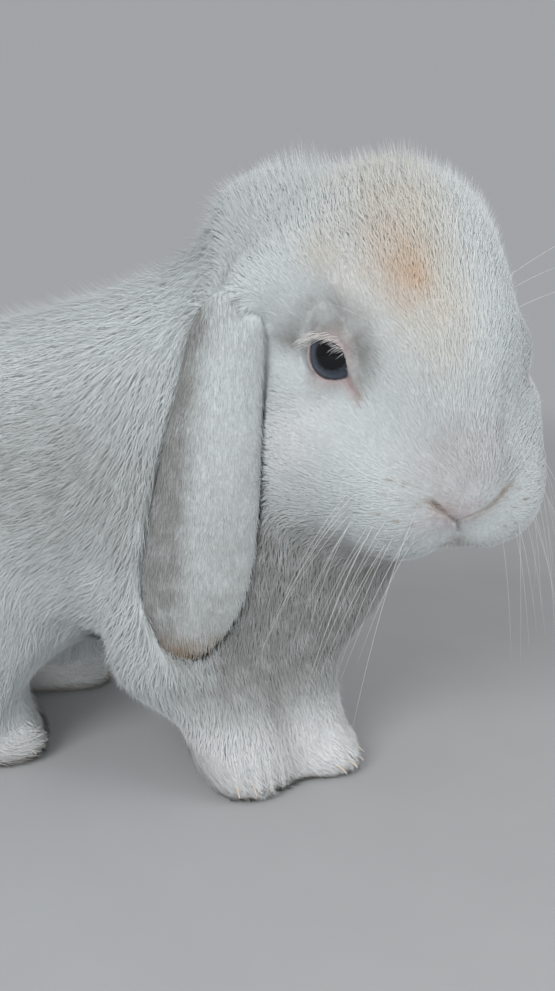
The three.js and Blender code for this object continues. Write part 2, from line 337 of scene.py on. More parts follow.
# ---------------------------------------------------------------- shader groups and materials
def new_group(name, inputs, outputs):
    """An empty shader group with its sockets, and its input and output nodes."""
    group = bpy.data.node_groups.new(name, "ShaderNodeTree")
    for label, kind, default in inputs:
        socket = group.interface.new_socket(name=label, in_out="INPUT", socket_type=kind)
        socket.default_value = default
    for label, kind in outputs:
        group.interface.new_socket(name=label, in_out="OUTPUT", socket_type=kind)
    return group, group.nodes.new("NodeGroupInput"), group.nodes.new("NodeGroupOutput")


def add_node(tree, kind, links=None, **settings):
    """A shader node with its settings, and its inputs linked to sockets or set to values."""
    node = tree.nodes.new(kind)
    for key, value in settings.items():
        setattr(node, key, value)
    for key, value in (links or {}).items():
        if isinstance(value, bpy.types.NodeSocket):
            tree.links.new(value, node.inputs[key])
        else:
            node.inputs[key].default_value = value
    return node


def mix_colour(tree, factor, first, second):
    """The Mix node's sockets for colours are its inputs 6 and 7 and its output 2."""
    return add_node(tree, "ShaderNodeMix", {0: factor, 6: first, 7: second}, data_type="RGBA").outputs[2]


def rgba(colour):
    return (*colour, 1.0)


def object_place(tree):
    return add_node(tree, "ShaderNodeTexCoord").outputs["Object"]


def mask_of(tree, name):
    """The value of a piece's attribute."""
    return add_node(tree, "ShaderNodeAttribute", attribute_name=name).outputs["Fac"]


def noise_at(tree, place, scale, detail, roughness=0.5):
    values = {"Vector": place, "Scale": scale, "Detail": detail, "Roughness": roughness}
    return add_node(tree, "ShaderNodeTexNoise", values).outputs["Fac"]


def ranged(tree, value, low, high, least=0.3, most=0.7):
    """A value between `least` and `most`, as noise is, spread between two others."""
    values = {"Value": value, "From Min": least, "From Max": most, "To Min": low, "To Max": high}
    return add_node(tree, "ShaderNodeMapRange", values).outputs["Result"]


def product(tree, first, second, **settings):
    values = {0: first, 1: second}
    return add_node(tree, "ShaderNodeMath", values, operation="MULTIPLY", **settings).outputs[0]


def scaled(tree, colour, amount):
    """A colour made lighter or darker."""
    values = {0: colour, "Scale": amount}
    return add_node(tree, "ShaderNodeVectorMath", values, operation="SCALE").outputs[0]


def grain_bump(tree, shader, height, strength, distance):
    bump = add_node(tree, "ShaderNodeBump", {"Height": height, "Strength": strength, "Distance": distance})
    tree.links.new(bump.outputs["Normal"], shader.inputs["Normal"])


# The masks of the markings and of the painted light and shade, in the order in which their colours are laid
# over each other.
MASKS = ("painted_light", "cream", "shade", "peach", "pink", "stain_and_shade")


def markings_and_painted_light_group():
    """The rabbit's markings with its painted light and shade: each mask is an attribute of the piece,
    broken up by noise in object space.
    """
    if "MarkingsAndPaintedLight" in bpy.data.node_groups:
        return bpy.data.node_groups["MarkingsAndPaintedLight"]
    look = looks()
    group, _, out = new_group("MarkingsAndPaintedLight", [], [("Color", "NodeSocketColor")])
    place = object_place(group)
    uneven = ranged(group, noise_at(group, place, 140.0, 4.0, 0.6), 0.65, 1.2)
    strands = ranged(group, noise_at(group, place, 900.0, 2.0), 0.93, 1.05)
    colour = rgba(look.white)
    for mask in MASKS:
        factor = product(group, mask_of(group, mask), uneven, use_clamp=True)
        colour = mix_colour(group, factor, colour, rgba(getattr(look, mask)))
    group.links.new(scaled(group, colour, strands), out.inputs["Color"])
    return group


def new_material(name, roughness, **constants):
    material = bpy.data.materials.new(name)
    material.use_nodes = True
    shader = material.node_tree.nodes["Principled BSDF"]
    shader.inputs["Roughness"].default_value = roughness
    for key, value in constants.items():
        shader.inputs[key.replace("_", " ")].default_value = value
    return material, material.node_tree, shader


def coat_material():
    """Fur: the markings, a little darker at the roots as painted shade deep in the coat, with a tone of its
    own for each tuft.
    """
    if "coat" in bpy.data.materials:
        return bpy.data.materials["coat"]
    material, tree, shader = new_material(
        "coat", 0.72, Sheen_Weight=0.25, Sheen_Roughness=0.6, Specular_IOR_Level=0.25
    )
    markings = add_node(tree, "ShaderNodeGroup", node_tree=markings_and_painted_light_group())
    # Painted shade towards each tuft's root.
    depth = ranged(tree, mask_of(tree, "along"), 0.96, 1.02, 0.0, 1.0)
    own = ranged(tree, mask_of(tree, "tone"), 0.95, 1.04, 0.0, 1.0)
    colour = scaled(tree, markings.outputs["Color"], product(tree, depth, own))
    tree.links.new(colour, shader.inputs["Base Color"])
    return material


# The colour of the painted shade in the folds of the nose, mouth and lids.
CREASE_SHADE_COLOUR = (0.045, 0.022, 0.018, 1)


def skin_material():
    """Skin and the short down on it: the markings, darkened with painted shade in the folds, with the grain
    of fine hair.
    """
    material, tree, shader = new_material("skin", 0.65, Specular_IOR_Level=0.3)
    markings = add_node(tree, "ShaderNodeGroup", node_tree=markings_and_painted_light_group())
    colour = mix_colour(tree, mask_of(tree, "crease_shade"), markings.outputs["Color"], CREASE_SHADE_COLOUR)
    tree.links.new(colour, shader.inputs["Base Color"])
    grain_bump(tree, shader, noise_at(tree, object_place(tree), 1500.0, 3.0), 0.35, 0.0004)
    return material


# The rings of an eye from its white to its pupil, by the cosine of the angle from the way it looks.
EYE_RINGS = (
    (0.40, (0.30, 0.22, 0.21, 1)), (0.47, (0.025, 0.028, 0.04, 1)), (0.56, (0.060, 0.080, 0.115, 1)),
    (0.72, (0.085, 0.110, 0.150, 1)), (0.855, (0.034, 0.040, 0.055, 1)), (0.895, (0.004, 0.004, 0.006, 1)),
)


def eye_material(name, centre, axis):
    """A wet eye: black pupil and slate iris with fine fibres and a darker rim."""
    material, tree, shader = new_material(
        name, 0.12, Coat_Weight=0.4, Coat_Roughness=0.03, Specular_IOR_Level=0.15
    )
    away = add_node(tree, "ShaderNodeVectorMath", {0: object_place(tree), 1: centre}, operation="SUBTRACT")
    facing = add_node(tree, "ShaderNodeVectorMath", {0: away.outputs[0]}, operation="NORMALIZE").outputs[0]
    along = add_node(tree, "ShaderNodeVectorMath", {0: facing, 1: axis}, operation="DOT_PRODUCT")
    fibres = ranged(tree, noise_at(tree, facing, 11.0, 5.0), -0.015, 0.015)
    angle = add_node(tree, "ShaderNodeMath", {0: along.outputs["Value"], 1: fibres}, operation="ADD")
    ramp = add_node(tree, "ShaderNodeValToRGB", {"Fac": angle.outputs[0]})
    rings = ramp.color_ramp.elements
    for ring, (position, colour) in ((rings[0], EYE_RINGS[0]), (rings[1], EYE_RINGS[-1])):
        ring.position = position
        ring.color = colour
    for position, colour in EYE_RINGS[1:-1]:
        rings.new(position).color = colour
    tree.links.new(ramp.outputs["Color"], shader.inputs["Base Color"])
    return material


def hair_material(name, colour):
    """Stiff single hairs, a little uneven in colour."""
    material, tree, shader = new_material(name, 0.4, Specular_IOR_Level=0.5)
    streak = noise_at(tree, object_place(tree), 260.0, 2.0)
    tint = mix_colour(tree, streak, rgba(colour), rgba([c * 0.8 for c in colour]))
    tree.links.new(tint, shader.inputs["Base Color"])
    return material


def claw_material():
    """Pale horn, cloudy and a little rough."""
    material, tree, shader = new_material("claw_horn", 0.38, Coat_Weight=0.2, Coat_Roughness=0.3)
    cloud = noise_at(tree, object_place(tree), 420.0, 3.0)
    tint = mix_colour(tree, cloud, (0.70, 0.65, 0.58, 1), (0.55, 0.47, 0.40, 1))
    tree.links.new(tint, shader.inputs["Base Color"])
    grain_bump(tree, shader, cloud, 0.3, 0.0002)
    return material


# ---------------------------------------------------------------- the skin's form
# How far the skin lies inside each solid, in millimetres.
COAT_DEPTH = {
    "neck": 2.6, "trunk": 2.4, "tail": 2.6, "thigh": 2.4, "foreleg": 2.0, "forepaw": 1.5, "hind_foot": 1.6,
    "ear": 0.55,
}
# The same on the head: on the face, and how much more on its deeper-haired parts.
FACE_DEPTH, CROWN_DEPTH, NAPE_DEPTH, JOWL_DEPTH = 1.1, 2.4, 1.3, 1.2
# The line of shade between the forelegs, from the floor up, from the middle of the figure.
FORELEG_GAP = np.array([(0.068, -0.047, 0.004), (0.0615, -0.0445, 0.040)])
# Which way the rear edge of each ear faces, for the band of painted shade along it, in degrees from +X
# towards +Y.
EAR_REAR = {"ear_right": 173, "ear_left": 72}
# The root of each ear on the skull, and where it joins the flap.
EAR_ROOTS = {"ear_right": ((-27, -30, 14), (-23, -52, 5)), "ear_left": ((-29, 28, 14), (-27, 45, 2))}
# Where each eye's opening faces and where its pupil looks, as degrees forward, up and of tilt.
OPENING_FACES = {-1: (38, 12, -20), 1: (24, 8, -14)}
GAZE = {-1: (42, 28, 0), 1: (26, 14, 0)}
# How far each eye is sunk in the head. The left one lies deeper, behind a fuller cheek.
EYE_SUNK = {-1: 0.0, 1: 2.0}
OPENING = (7.4, 6.1)  # half the length and half the height of the eye's opening
LID_THICKNESS = 0.7
UPPER_LID_EXTRA = 0.9  # how much thicker the upper lid is
LID_TURN = 0.88  # where the lids leave the ball, as a share of their radius
LID_SLOPE = 0.80  # how steeply the skin rises away from the lids' edge
CUP_DEPTH = 2.4  # how far the skin behind the eye lies inside its ball
LID_FADE = (19, 26)  # from the eye's axis, where the skin takes its own form again
OFF_EYE = 9.0  # stands for a place that no eye's opening is near


def kind_of(name):
    """The part of the body a solid belongs to, without its side."""
    return name.rsplit("_", 1)[0] if name.endswith(("_right", "_left")) else name


def head_depth(local):
    """Depth of the coat on the head: thin on the face, deep on the crown, nape and jowls."""
    x, _, z = local.T
    depth = FACE_DEPTH + CROWN_DEPTH * step(z, 26, 46) + NAPE_DEPTH * step(-x, 6, 42)
    depth += JOWL_DEPTH * step(-z, 20, 50) * step(-x, -45, -10)
    for side in BOTH:
        depth *= 0.35 + 0.65 * step(from_eye(local, side), 10, 21)
    return depth * (0.4 + 0.6 * step(np.linalg.norm(local - NOSE, axis=1), 8, 22))


def depth_of(points, kinds):
    """Depth of the coat anywhere on the rabbit."""
    depth = head_depth(to_head(points))
    for kind, value in COAT_DEPTH.items():
        depth[kinds == kind] = value
    return depth


class Surface:
    """The outside of some solids, to find how far places are from it and which solid is nearest."""

    def __init__(self, *names):
        corners = []
        self.owners = []
        for name in names:
            mesh = NODES[name].data
            mesh.calc_loop_triangles()
            corners.append(points_of(mesh)[column(mesh.loop_triangles, "vertices", 3, int)])
            self.owners += [name] * len(mesh.loop_triangles)
        corners = np.concatenate(corners)
        places, self.faces = np.unique(np.round(corners.reshape(-1, 3), 7), axis=0, return_inverse=True)
        self.faces = self.faces.reshape(-1, 3)
        self.corners = places[self.faces]
        across = np.cross(self.corners[:, 1] - self.corners[:, 0], self.corners[:, 2] - self.corners[:, 0])
        self.normals = np.zeros_like(places)
        for k in range(3):
            np.add.at(self.normals, self.faces[:, k], across)
        self.normals = unit(self.normals)
        self.tree = BVHTree.FromPolygons(places.tolist(), self.faces.tolist())

    def nearest(self, points):
        """The nearest place on the solids to each point, and the face it is on."""
        found = [self.tree.find_nearest(Vector(p)) for p in points]
        return np.array([hit[0] for hit in found]).reshape(-1, 3), np.array([hit[2] for hit in found], int)

    def heights(self, points):
        """How far each point is outside the solids (negative inside), and the way straight out of them."""
        places, faces = self.nearest(points)
        corners = self.corners[faces]
        across = np.cross(corners[:, 1] - corners[:, 0], corners[:, 2] - corners[:, 0])
        area = np.maximum((across * across).sum(1), 1e-30)
        out = np.zeros_like(places)
        for k in range(3):
            start, end = corners[:, (k + 1) % 3], corners[:, (k + 2) % 3]
            share = (np.cross(end - start, places - start) * across).sum(1) / area
            out += share[:, None] * self.normals[self.faces[faces, k]]
        out = unit(out)
        gap = points - places
        side = np.where((gap * out).sum(1) < 0, -1, 1)
        return np.linalg.norm(gap, axis=1) * side, out

    def kinds(self, points):
        """The part of the body each point belongs to."""
        return np.array([kind_of(self.owners[face]) for face in self.nearest(points)[1]])


def eye_frame(side, faces=OPENING_FACES):
    """Centre of an eye in the head's frame, its axis, and the ways along its opening and up across it."""
    turn, up, tilt = np.radians(faces[side])
    axis = np.array([math.sin(turn) * math.cos(up), side * math.cos(turn) * math.cos(up), math.sin(up)])
    along = np.array([math.cos(turn), -side * math.sin(turn), 0.0])
    across = -side * unit(np.cross(axis, along))
    return (
        np.array([EYE_AT[0], side * (EYE_AT[1] - EYE_SUNK[side]), EYE_AT[2]]),
        axis,
        along * math.cos(tilt) + across * math.sin(tilt),
        across * math.cos(tilt) - along * math.sin(tilt),
    )


def almond(a):
    """Half height of the eye's opening at `a`, -1 at its outer corner and 1 at its inner one."""
    return 1 - 0.38 * np.clip(a * a, 0, 1)


def fit_lids(local, side):
    """Draws the skin round an eye: a cup behind it, lids that wrap over its ball, and a slope down to them.

    The skin is moved along the eye's axis only, but is gathered more closely at the lids' edges.
    Returns the new places, how far each lies from the middle of the opening (1 at the lids' edge) and its
    place along and across the opening.
    """
    centre, axis, along, across = eye_frame(side)
    out = local - centre
    h, u, v = out @ axis, out @ along, out @ across
    near = (np.hypot(u, v) < LID_FADE[1]) & (h > -12)
    a, b = u / OPENING[0], v / OPENING[1]
    rim = np.sqrt(a * a + (b / almond(a)) ** 2)
    tight = np.where(rim < 1, 1 - 0.4 * (1 - rim), rim) / np.maximum(rim, 0.05)
    gather = np.where(rim < 0.3, 1, tight)
    u, v = u * gather, v * gather
    rho = np.hypot(u, v)
    lid = EYE_RADIUS + LID_THICKNESS + UPPER_LID_EXTRA * step(b, -0.3, 0.8)
    turn_down = LID_TURN * lid
    ball = np.sqrt(np.maximum(lid ** 2 - np.minimum(rho, turn_down) ** 2, 0))
    ball -= 1.85 * np.maximum(rho - turn_down, 0)
    edge = rho / np.maximum(rim * gather, 0.05)
    brink = np.sqrt(np.maximum(lid ** 2 - np.minimum(edge, turn_down) ** 2, 0))
    slope = brink - 0.6 + LID_SLOPE * (rho - edge)
    shallow = soft_max(-h, -slope, 1.6 + 4.4 * step(rim, 1.2, 2.2))
    outside = soft_max(-shallow, ball, 1.0 + 3.5 * step(rim, 1.15, 2.0))
    behind = np.sqrt(np.maximum(EYE_RADIUS ** 2 - rho ** 2, 0)) - CUP_DEPTH
    inside = 1 - step(rim * gather, 0.955, 1.01)
    wanted = outside * (1 - inside) + behind * inside
    share = (1 - step(rho, *LID_FADE)) * near
    new_h = h + (wanted - h) * share
    moved = centre + new_h[:, None] * axis + u[:, None] * along + v[:, None] * across
    return np.where(near[:, None], moved, local), np.where(near, rim * gather, OFF_EYE), a, b


def soft_max(first, second, blend):
    """The larger of two heights, rounded where they meet."""
    gap = np.clip(0.5 + 0.5 * (first - second) / blend, 0, 1)
    return second + (first - second) * gap + blend * gap * (1 - gap) * 0.5


# Hollows (negative) and swellings of the face: centre, radii and height in millimetres, and its sides.
FACE_FORMS = (
    ((-3, 31, 15.5), (11, 7, 4.5), -0.9, BOTH),  # hollow above the eye
    ((18, 27, 8), (6, 7, 8), -1.4, RIGHT),  # hollow before the eye
    ((14, 30, 7), (9, 8, 11), 3.2, LEFT),  # the fuller cheek that hides the left eye from before
    ((-5, 29, 24), (14, 8, 6), 1.5, BOTH),  # brow
    ((10, 32, -10), (9, 8, 6), 1.0, BOTH),  # below the eye
    ((44, 21, -21), (10, 9, 10), 1.2, BOTH),  # whisker pad
    ((45, 18, -38), (10, 9, 7), 2.4, RIGHT),  # its lower side
    ((42, 24, -34), (12, 11, 11), 5.0, LEFT),  # the same on the left, fuller
    ((40, 34, -27), (3.5, 4, 8), -1.4, RIGHT),  # behind the pad, at the mouth's corner
    ((39, 33, -22), (9, 9, 12), 1.6, LEFT),  # the left jowl
    ((45, 15, -40), (8, 8, 6), 1.8, LEFT),  # the left lip
    ((48, 0, -12), (7, 8.5, 10), 1.2, RIGHT),  # the nose's dome
    ((47, 10, -37), (7, 6, 6), 1.2, BOTH),  # the lip
    ((50, 0.5, -38), (7, 4, 4), -1.2, LEFT),  # notch between the lips
    ((46, -3, -48), (9, 13, 6), -2.6, LEFT),  # the chin lies back from them
    ((36, 0, 6), (7, 8, 6), -0.9, RIGHT),  # dip of the bridge above the nose
)
# Creases: from, to, half width and depth in millimetres, how dark the painted shade in them is, how brown
# the painted shade beside them is, and their sides.
CREASES = (
    ((52.6, 3.2, -24.6), (50.0, 13.4, -16.4), 0.75, 1.3, 0.85, 0.5, RIGHT),  # nostrils
    ((52.6, -2.6, -24.6), (50.7, 11.1, -15.7), 1.0, 0.7, 0.04, 0.80, LEFT),
    ((52.4, -2.9, -24.8), (51.3, -0.2, -31.0), 0.7, 1.1, 0.8, 0.35, LEFT),  # cleft
    ((50.5, 1.0, -38.5), (37, 21, -48), 1.5, 0.8, 0.04, 0.5, BOTH),  # mouth
    ((43, 12.5, -4.5), (33, 14, 7), 3.6, 1.0, 0.0, 0.0, BOTH),  # beside the bridge
    ((15.0, 30.8, 3.4), (22.5, 28.3, 0.5), 0.9, 0.7, 0.25, 0.0, BOTH),  # from the eye's inner corner
)


TOE_FOLD = 1.3  # depth of the grooves between the toes, in millimetres
# The bare skin that runs down from an eye's inner corner.
TEAR_LINE = ((14.5, 31.0, 4.0), (22.5, 28.3, 0.5))
# Streaks of painted shade outside an eye's outer corner, along and across its opening, and how dark they
# are.
EYE_CORNER_SHADE = (((-1.2, -0.9), (-2.1, -1.7), 0.95), ((-2.1, -1.4), (-1.8, 0.7), 0.75))
# Pink skin showing through the fur of the nose: how much, centre and radii.
PINK_NOSE = ((0.46, (52, -6, -20), (6, 9, 7)), (0.22, (46, -4, -10), (10, 14, 13)))


def line_mask(away, width):
    """1 on a line and fading away from it."""
    return np.exp(-((away / width) ** 2))


def socket_painted_shade(a, b, rim, side):
    """Painted shade round an eye: most above it, under the brow, and at its outer corner."""
    upper = step(b + 0.6 * np.maximum(-a - 0.8, 0), -0.4, 0.6)
    round_eye = np.hypot(np.maximum(1.15 * a, -1.35 * a), b)
    above, below = 1 - step(round_eye, 1.6, 3.6), 1 - step(round_eye, 1.0, 2.4)
    eye_shade = upper * 0.95 * above + (1 - upper) * 0.65 * below
    for start, end, dark in EYE_CORNER_SHADE:
        away, _ = near_line(np.column_stack([a, b]), start, end)
        eye_shade = np.maximum(eye_shade, dark * line_mask(away, 0.65))
    eye_shade *= (1 - step(np.hypot(a * OPENING[0], b * OPENING[1]), 17, 26)) * (rim < OFF_EYE)
    return eye_shade * (1.0 if side < 0 else 0.5)


def carve_face(points, normals):
    """Presses the face's folds into the skin. Returns the new points and the masks that go with them, which
    hold the painted shade in the folds and round the eyes.
    """
    local = to_head(points)
    toes = toe_folds(points)
    fold = TOE_FOLD * toes
    lift, crease_shade, pink, stain_and_shade, socket = np.zeros((5, len(local)))
    for centre, radii, height, sides in FACE_FORMS:
        for side in sides:
            lift += height * bump_at(local * (1, side, 1), centre, radii)
    for start, end, half, deep, dark, brown, sides in CREASES:
        for side in sides:
            away, along = near_line(local * (1, side, 1), start, end)
            cut = line_mask(away, half)
            fold = np.maximum(fold, deep * cut)
            # Painted shade in each fold.
            crease_shade = np.maximum(crease_shade, dark * cut * (1 - 0.45 * along))
            # Brown painted shade beside each fold.
            stain_and_shade = np.maximum(stain_and_shade, brown * line_mask(away, 1.7) * step(along, -0.2, 0.6))
    for side in BOTH:
        away, along = near_line(local * (1, side, 1), *TEAR_LINE)
        pink = np.maximum(pink, 0.85 * line_mask(away, 1.7) * (1 - 0.5 * along))
        stain_and_shade = np.maximum(stain_and_shade, 0.35 * line_mask(away, 1.6) * step(along, 0.55, 1.0))
    local = local + (normals @ HEAD_TURN) * (lift - fold)[:, None]
    rims = []
    for side in BOTH:
        local, rim, a, b = fit_lids(local, side)
        # Painted shade round each eye's socket.
        socket = np.maximum(socket, socket_painted_shade(a, b, rim, side))
        low = step(-b, -0.3, 0.4)
        pink = np.maximum(pink, 0.62 * (1 - step(rim, 1.03, 1.20 + 0.12 * low)) * (0.05 + 0.95 * low))
        pink = np.maximum(pink, 0.32 * (1 - step(rim, 1.1, 1.9)))
        # Painted shade where the lids meet the eye.
        crease_shade = np.maximum(crease_shade, (1 - step(rim, 0.985, 1.035 + 0.03 * (1 - low))) * 0.9)
        rims.append(rim)
    for amount, centre, radii in PINK_NOSE:
        pink = np.maximum(pink, amount * bump_at(local, centre, radii))
    masks = {"crease_shade": crease_shade, "pink": pink, "stain_and_shade": stain_and_shade, "toes": toes, "socket": socket}
    return from_head(local), {**masks, "rim": np.minimum(*rims)}


WHISKER_ROWS = 4
WHISKER_ROOTS = [(i % WHISKER_ROWS, i // WHISKER_ROWS) for i in range(19)]  # row and place in it


def whisker_root(row, place):
    """Where a whisker stands on the left pad, in the head's frame."""
    return np.array([46.5 - 2.4 * place - row, 15 + 2.9 * place, -14.5 - 5.4 * row])


def whisker_specks(points):
    """Small dark marks on the pads where the whiskers stand."""
    local = to_head(points)
    speck = np.zeros(len(points))
    for side in BOTH:
        for row, place in WHISKER_ROOTS:
            away = np.linalg.norm(local - whisker_root(row, place) * (1, side, 1), axis=1)
            away = np.linalg.norm(local - local[np.argmin(away)], axis=1)
            speck = np.maximum(speck, 0.9 * line_mask(away, 0.55) * (place < 3))
    return speck


def claw_line(name):
    """Where a claw comes out of its toe, and its tip."""
    points = points_of(NODES[name].data)
    tip = points[np.argmax(np.linalg.norm(points - points.mean(0), axis=1))]
    return points[np.linalg.norm(points - tip, axis=1) > 0.0075].mean(0), tip


def toe_folds(points):
    """The grooves between the toes, 1 where they are deepest."""
    flat = points * (1, 1, 0)
    fold = np.zeros(len(points))
    for foot in sorted({name.split("_claw_")[0] for name in CLAWS}):
        claws = [claw_line(name) for name in sorted(CLAWS) if name.startswith(foot)]
        for (base, tip), (next_base, next_tip) in zip(claws, claws[1:]):
            start = (tip + next_tip) / 2 * (1, 1, 0)
            end = start + 3.0 * ((base + next_base) / 2 * (1, 1, 0) - start)
            away, along = near_line(flat, start, end)
            fold = np.maximum(fold, line_mask(away, 0.0013) * (1 - along))
    return fold * (1 - step(points[:, 2] - FLOOR, 0.012, 0.026))


# Smooth patches of colour on the head: how much, centre and radii.
PEACH = ((1.0, (9.5, -14, 31), (7, 5.2, 8)), (0.40, (2, -17, 35), (10, 10, 11)))
CREAM = (
    (0.75, (0, -12, 36), (24, 17, 20)), (0.5, (-30, 0, 44), (24, 26, 16)),
    (0.45, (22, -8, 22), (16, 10, 16)), (0.55, (-14, -30, 25), (9, 6, 5)),
)
# Brown patches round the mouth and on the nose.
BROWN_PATCHES = (
    (0.60, (48, 6, -43), (6, 11, 4)), (0.32, (48, -16, -41), (5, 8, 3)),
    (0.5, (50, 1, -37), (4, 4, 3)), (0.16, (50, -8, -17), (3, 5, 4)),
)
# Painted shade along lines of the head, as seen on its left, in the hollow behind the eye and in the fold
# at an ear's root: start, end, width and how dark.
BROW_LINE = ((-14, 40, 4), (-3, 31, 16), 5.0, 0.25)
EAR_FOLD = ((-22.5, 66.7, -1.9), (-19.9, 50.2, 10.6), 1.1, 0.60)


def patches(points, table):
    return sum(amount * bump_at(points, centre, radii) for amount, centre, radii in table)


def ear_shades(points, ears):
    """The brown tips of the ears, and the painted shade over them, more on their lower halves and most
    along their rear edges.
    """
    tips, edges = np.zeros((2, len(points)))
    for name in EARS:
        low, high = box_of(name)
        inside = ears & near_box(points, name, 0.006)
        rise = (points[:, 2] - low[2]) / (high[2] - low[2])
        rear = math.radians(EAR_REAR[name])
        across = (points - (low + high) / 2) @ np.array([math.cos(rear), math.sin(rear), 0])
        across -= np.polyval(np.polyfit(rise[inside], across[inside], 1), rise)
        tips[inside] = (0.78 * (1 - step(rise, 0.015, 0.12)))[inside]
        # Painted shade over the whole ear, more on its lower half and most along its rear edge.
        edges[inside] = (0.14 + 0.45 * (1 - step(rise, 0.05, 0.8)) + step(across, 0.0, 0.013))[inside]
    return tips, edges


def body_shade(points, normals, kinds, low):
    """Painted shade on the chest and throat under the head, on the flanks, and along the line between the
    forelegs.
    """
    chest = middle("neck") + np.array([-0.008, -0.033, -0.079])
    flank = middle("trunk") + np.array([0.010, -0.046, 0.012])
    level = np.array([1, 0, 1])  # leaves out how far to the side a point is
    # Painted shade on the chest and throat, where the head shades them.
    front = bump_at(points, chest, (0.042, 0.045, 0.034))
    front += 0.45 * bump_at(points, chest + np.array([-0.024, -0.004, -0.022]), (0.040, 0.040, 0.022))
    throat = bump_at(points, chest + np.array([-0.002, 0, 0.024]), (0.028, 0.040, 0.018))
    between, _ = near_line(points, *(FORELEG_GAP + MIDDLE * (1, 1, 0) + (0, 0, FLOOR)))
    # Less painted shade on the lower feet, and a line of it between the forelegs.
    front = (0.95 * front + 0.85 * throat) * (1 - 0.9 * low) + 0.34 * line_mask(between, 0.004)
    # Painted shade on the sides of the flanks and the right haunch.
    sides = bump_at(points * level, flank * level, (0.052, 1.0, 0.034))
    sides += 0.35 * bump_at(points * level, middle("thigh_right") * level, (0.045, 1.0, 0.045))
    sides *= np.isin(kinds, ("trunk", "thigh")) * step(0.8 - normals[:, 2], 0, 0.4)
    return front * (kinds != "head") * (kinds != "ear") + 0.65 * sides


def head_shade(local, head, masks):
    """Painted shade in the hollows behind the eyes, in the ears' folds, beside the bridge and in the
    grooves between the toes.
    """
    shade = np.zeros(len(local))
    for (start, end, width, dark), where in ((BROW_LINE, head), (EAR_FOLD, 1)):
        for side in BOTH:
            away, _ = near_line(local * (1, side, 1), start, end)
            shade += dark * line_mask(away, width) * where
    # Painted shade beside the bridge and in the grooves between the toes.
    return shade + 0.42 * bump_at(local, (42, -4, -4), (13, 15, 12)) * head + 0.35 * masks["toes"]


def markings_and_painted_light_at(points, normals, kinds, masks):
    """The masks of the coat's colours, by place on the body, among them its painted light and painted
    shade.
    """
    local = to_head(points)
    x, y, z = local.T
    head = kinds == "head"
    on_head = head | (kinds == "neck")
    tips, edges = ear_shades(points, kinds == "ear")
    height = points[:, 2] - FLOOR
    feet = (kinds == "forepaw") | (kinds == "hind_foot")
    # The lower feet get painted light and less painted shade.
    low = (feet | (kinds == "foreleg")) * (1 - step(height, 0.022, 0.045))
    stain_and_shade = np.maximum(masks["stain_and_shade"], tips)
    for amount, centre, radii in BROWN_PATCHES:
        stain_and_shade = np.maximum(stain_and_shade, amount * bump_at(local, centre, radii))
    # Brown on the lowest few millimetres of the feet, next to the floor.
    stain_and_shade = np.maximum(stain_and_shade, np.where(feet, 0.55 * (1 - step(height, 0.0015, 0.006)), 0))
    # Painted shade of the body, the ears and the head, and round the eye sockets and on the nape.
    shade = body_shade(points, normals, kinds, low) + edges + head_shade(local, head, masks)
    shade = np.maximum(shade, masks["socket"]) + 0.25 * bump_at(local, (-57, -45, 17), (22, 18, 22))
    # Painted shade under the chin and on the far, left cheek.
    under = 0.95 * head * step(-z, 30, 50) * step(-x, -56, -30)
    under += 0.4 * bump_at(local, (38, 36, -20), (14, 12, 24)) * head
    # Painted light on the near cheek and the near brow.
    light = 0.9 * bump_at(local * (1, -1, 1), (17, 45, -20), (9, 12, 13))
    light += 0.5 * bump_at(local, (-4, -28, 24), (10, 7, 6))
    return {
        "painted_light": np.clip(low + light * head, 0, 1),
        "peach": np.clip(patches(local, PEACH), 0, 1) * on_head,
        "cream": np.clip(patches(local, CREAM), 0, 1) * (1 - 0.7 * step(y, -4, 14)) * on_head,
        "stain_and_shade": stain_and_shade,
        "pink": masks["pink"],
        "shade": np.clip(shade + under, 0, 1),
    }


# ---------------------------------------------------------------- the lie of the coat
# For each part: the tufts' length along the skin, their width, the spacing of their roots, how unruly
# they are, and how far the few that stand out stand. All but the unruliness are in millimetres.
COAT_CUT = {
    "head": (4.8, 0.22, 0.60, 0.07, 0.6),
    "neck": (11.5, 0.27, 0.86, 0.12, 5.6),
    "trunk": (11.5, 0.28, 0.92, 0.11, 3.4),
    "tail": (8.0, 0.30, 0.82, 0.16, 3.0),
    "thigh": (11.0, 0.28, 0.89, 0.11, 2.6),
    "foreleg": (8.5, 0.27, 0.80, 0.12, 3.6),
    "forepaw": (6.4, 0.27, 0.66, 0.10, 1.4),
    "hind_foot": (8.5, 0.29, 0.72, 0.16, 3.5),
    "ear": (5.0, 0.25, 0.67, 0.06, 1.0),
}
# Where tufts stand up on the crown: centre and radii in the head's frame, and how far, in millimetres.
CROWN_TUFTS = (
    ((-59, -17, 31), (14, 15, 15), 13.0),
    ((-31, 1, 45), (18, 20, 14), 8.5),
    ((-57, -48, 13), (15, 14, 17), 11.0),
    ((-6, 19, 41), (14, 12, 14), 6.5),
    ((8, 24, 30), (12, 9, 12), 4.0),
)
# How much each measure of the cut grows from the face to the crown, and to the jowls.
CROWN_GROWTH = (3.5, 0.06, 0.08, 0.20, 3.8)
JOWL_GROWTH = (4.5, 0.07, 0.15, 0.0, 2.4)
BACK_STAND = 3.2  # how much further the tufts stand out along the top of the back and neck
BARE = 50.0  # a spacing so wide that nothing grows
# Which way the coat lies on the limbs, the tail and the ears.
COAT_WAYS = {
    "tail": (-0.8, 0, 0.6), "thigh": (-0.55, 0, -0.85), "foreleg": (0.12, 0, -1.0), "ear": (0, 0, -1.0),
    "hind_foot": (1.0, 0, -0.12),
}
# Which way the forepaws point, in degrees from +X towards +Y.
PAW_HEADINGS = {"forepaw_right": -60, "forepaw_left": -27}


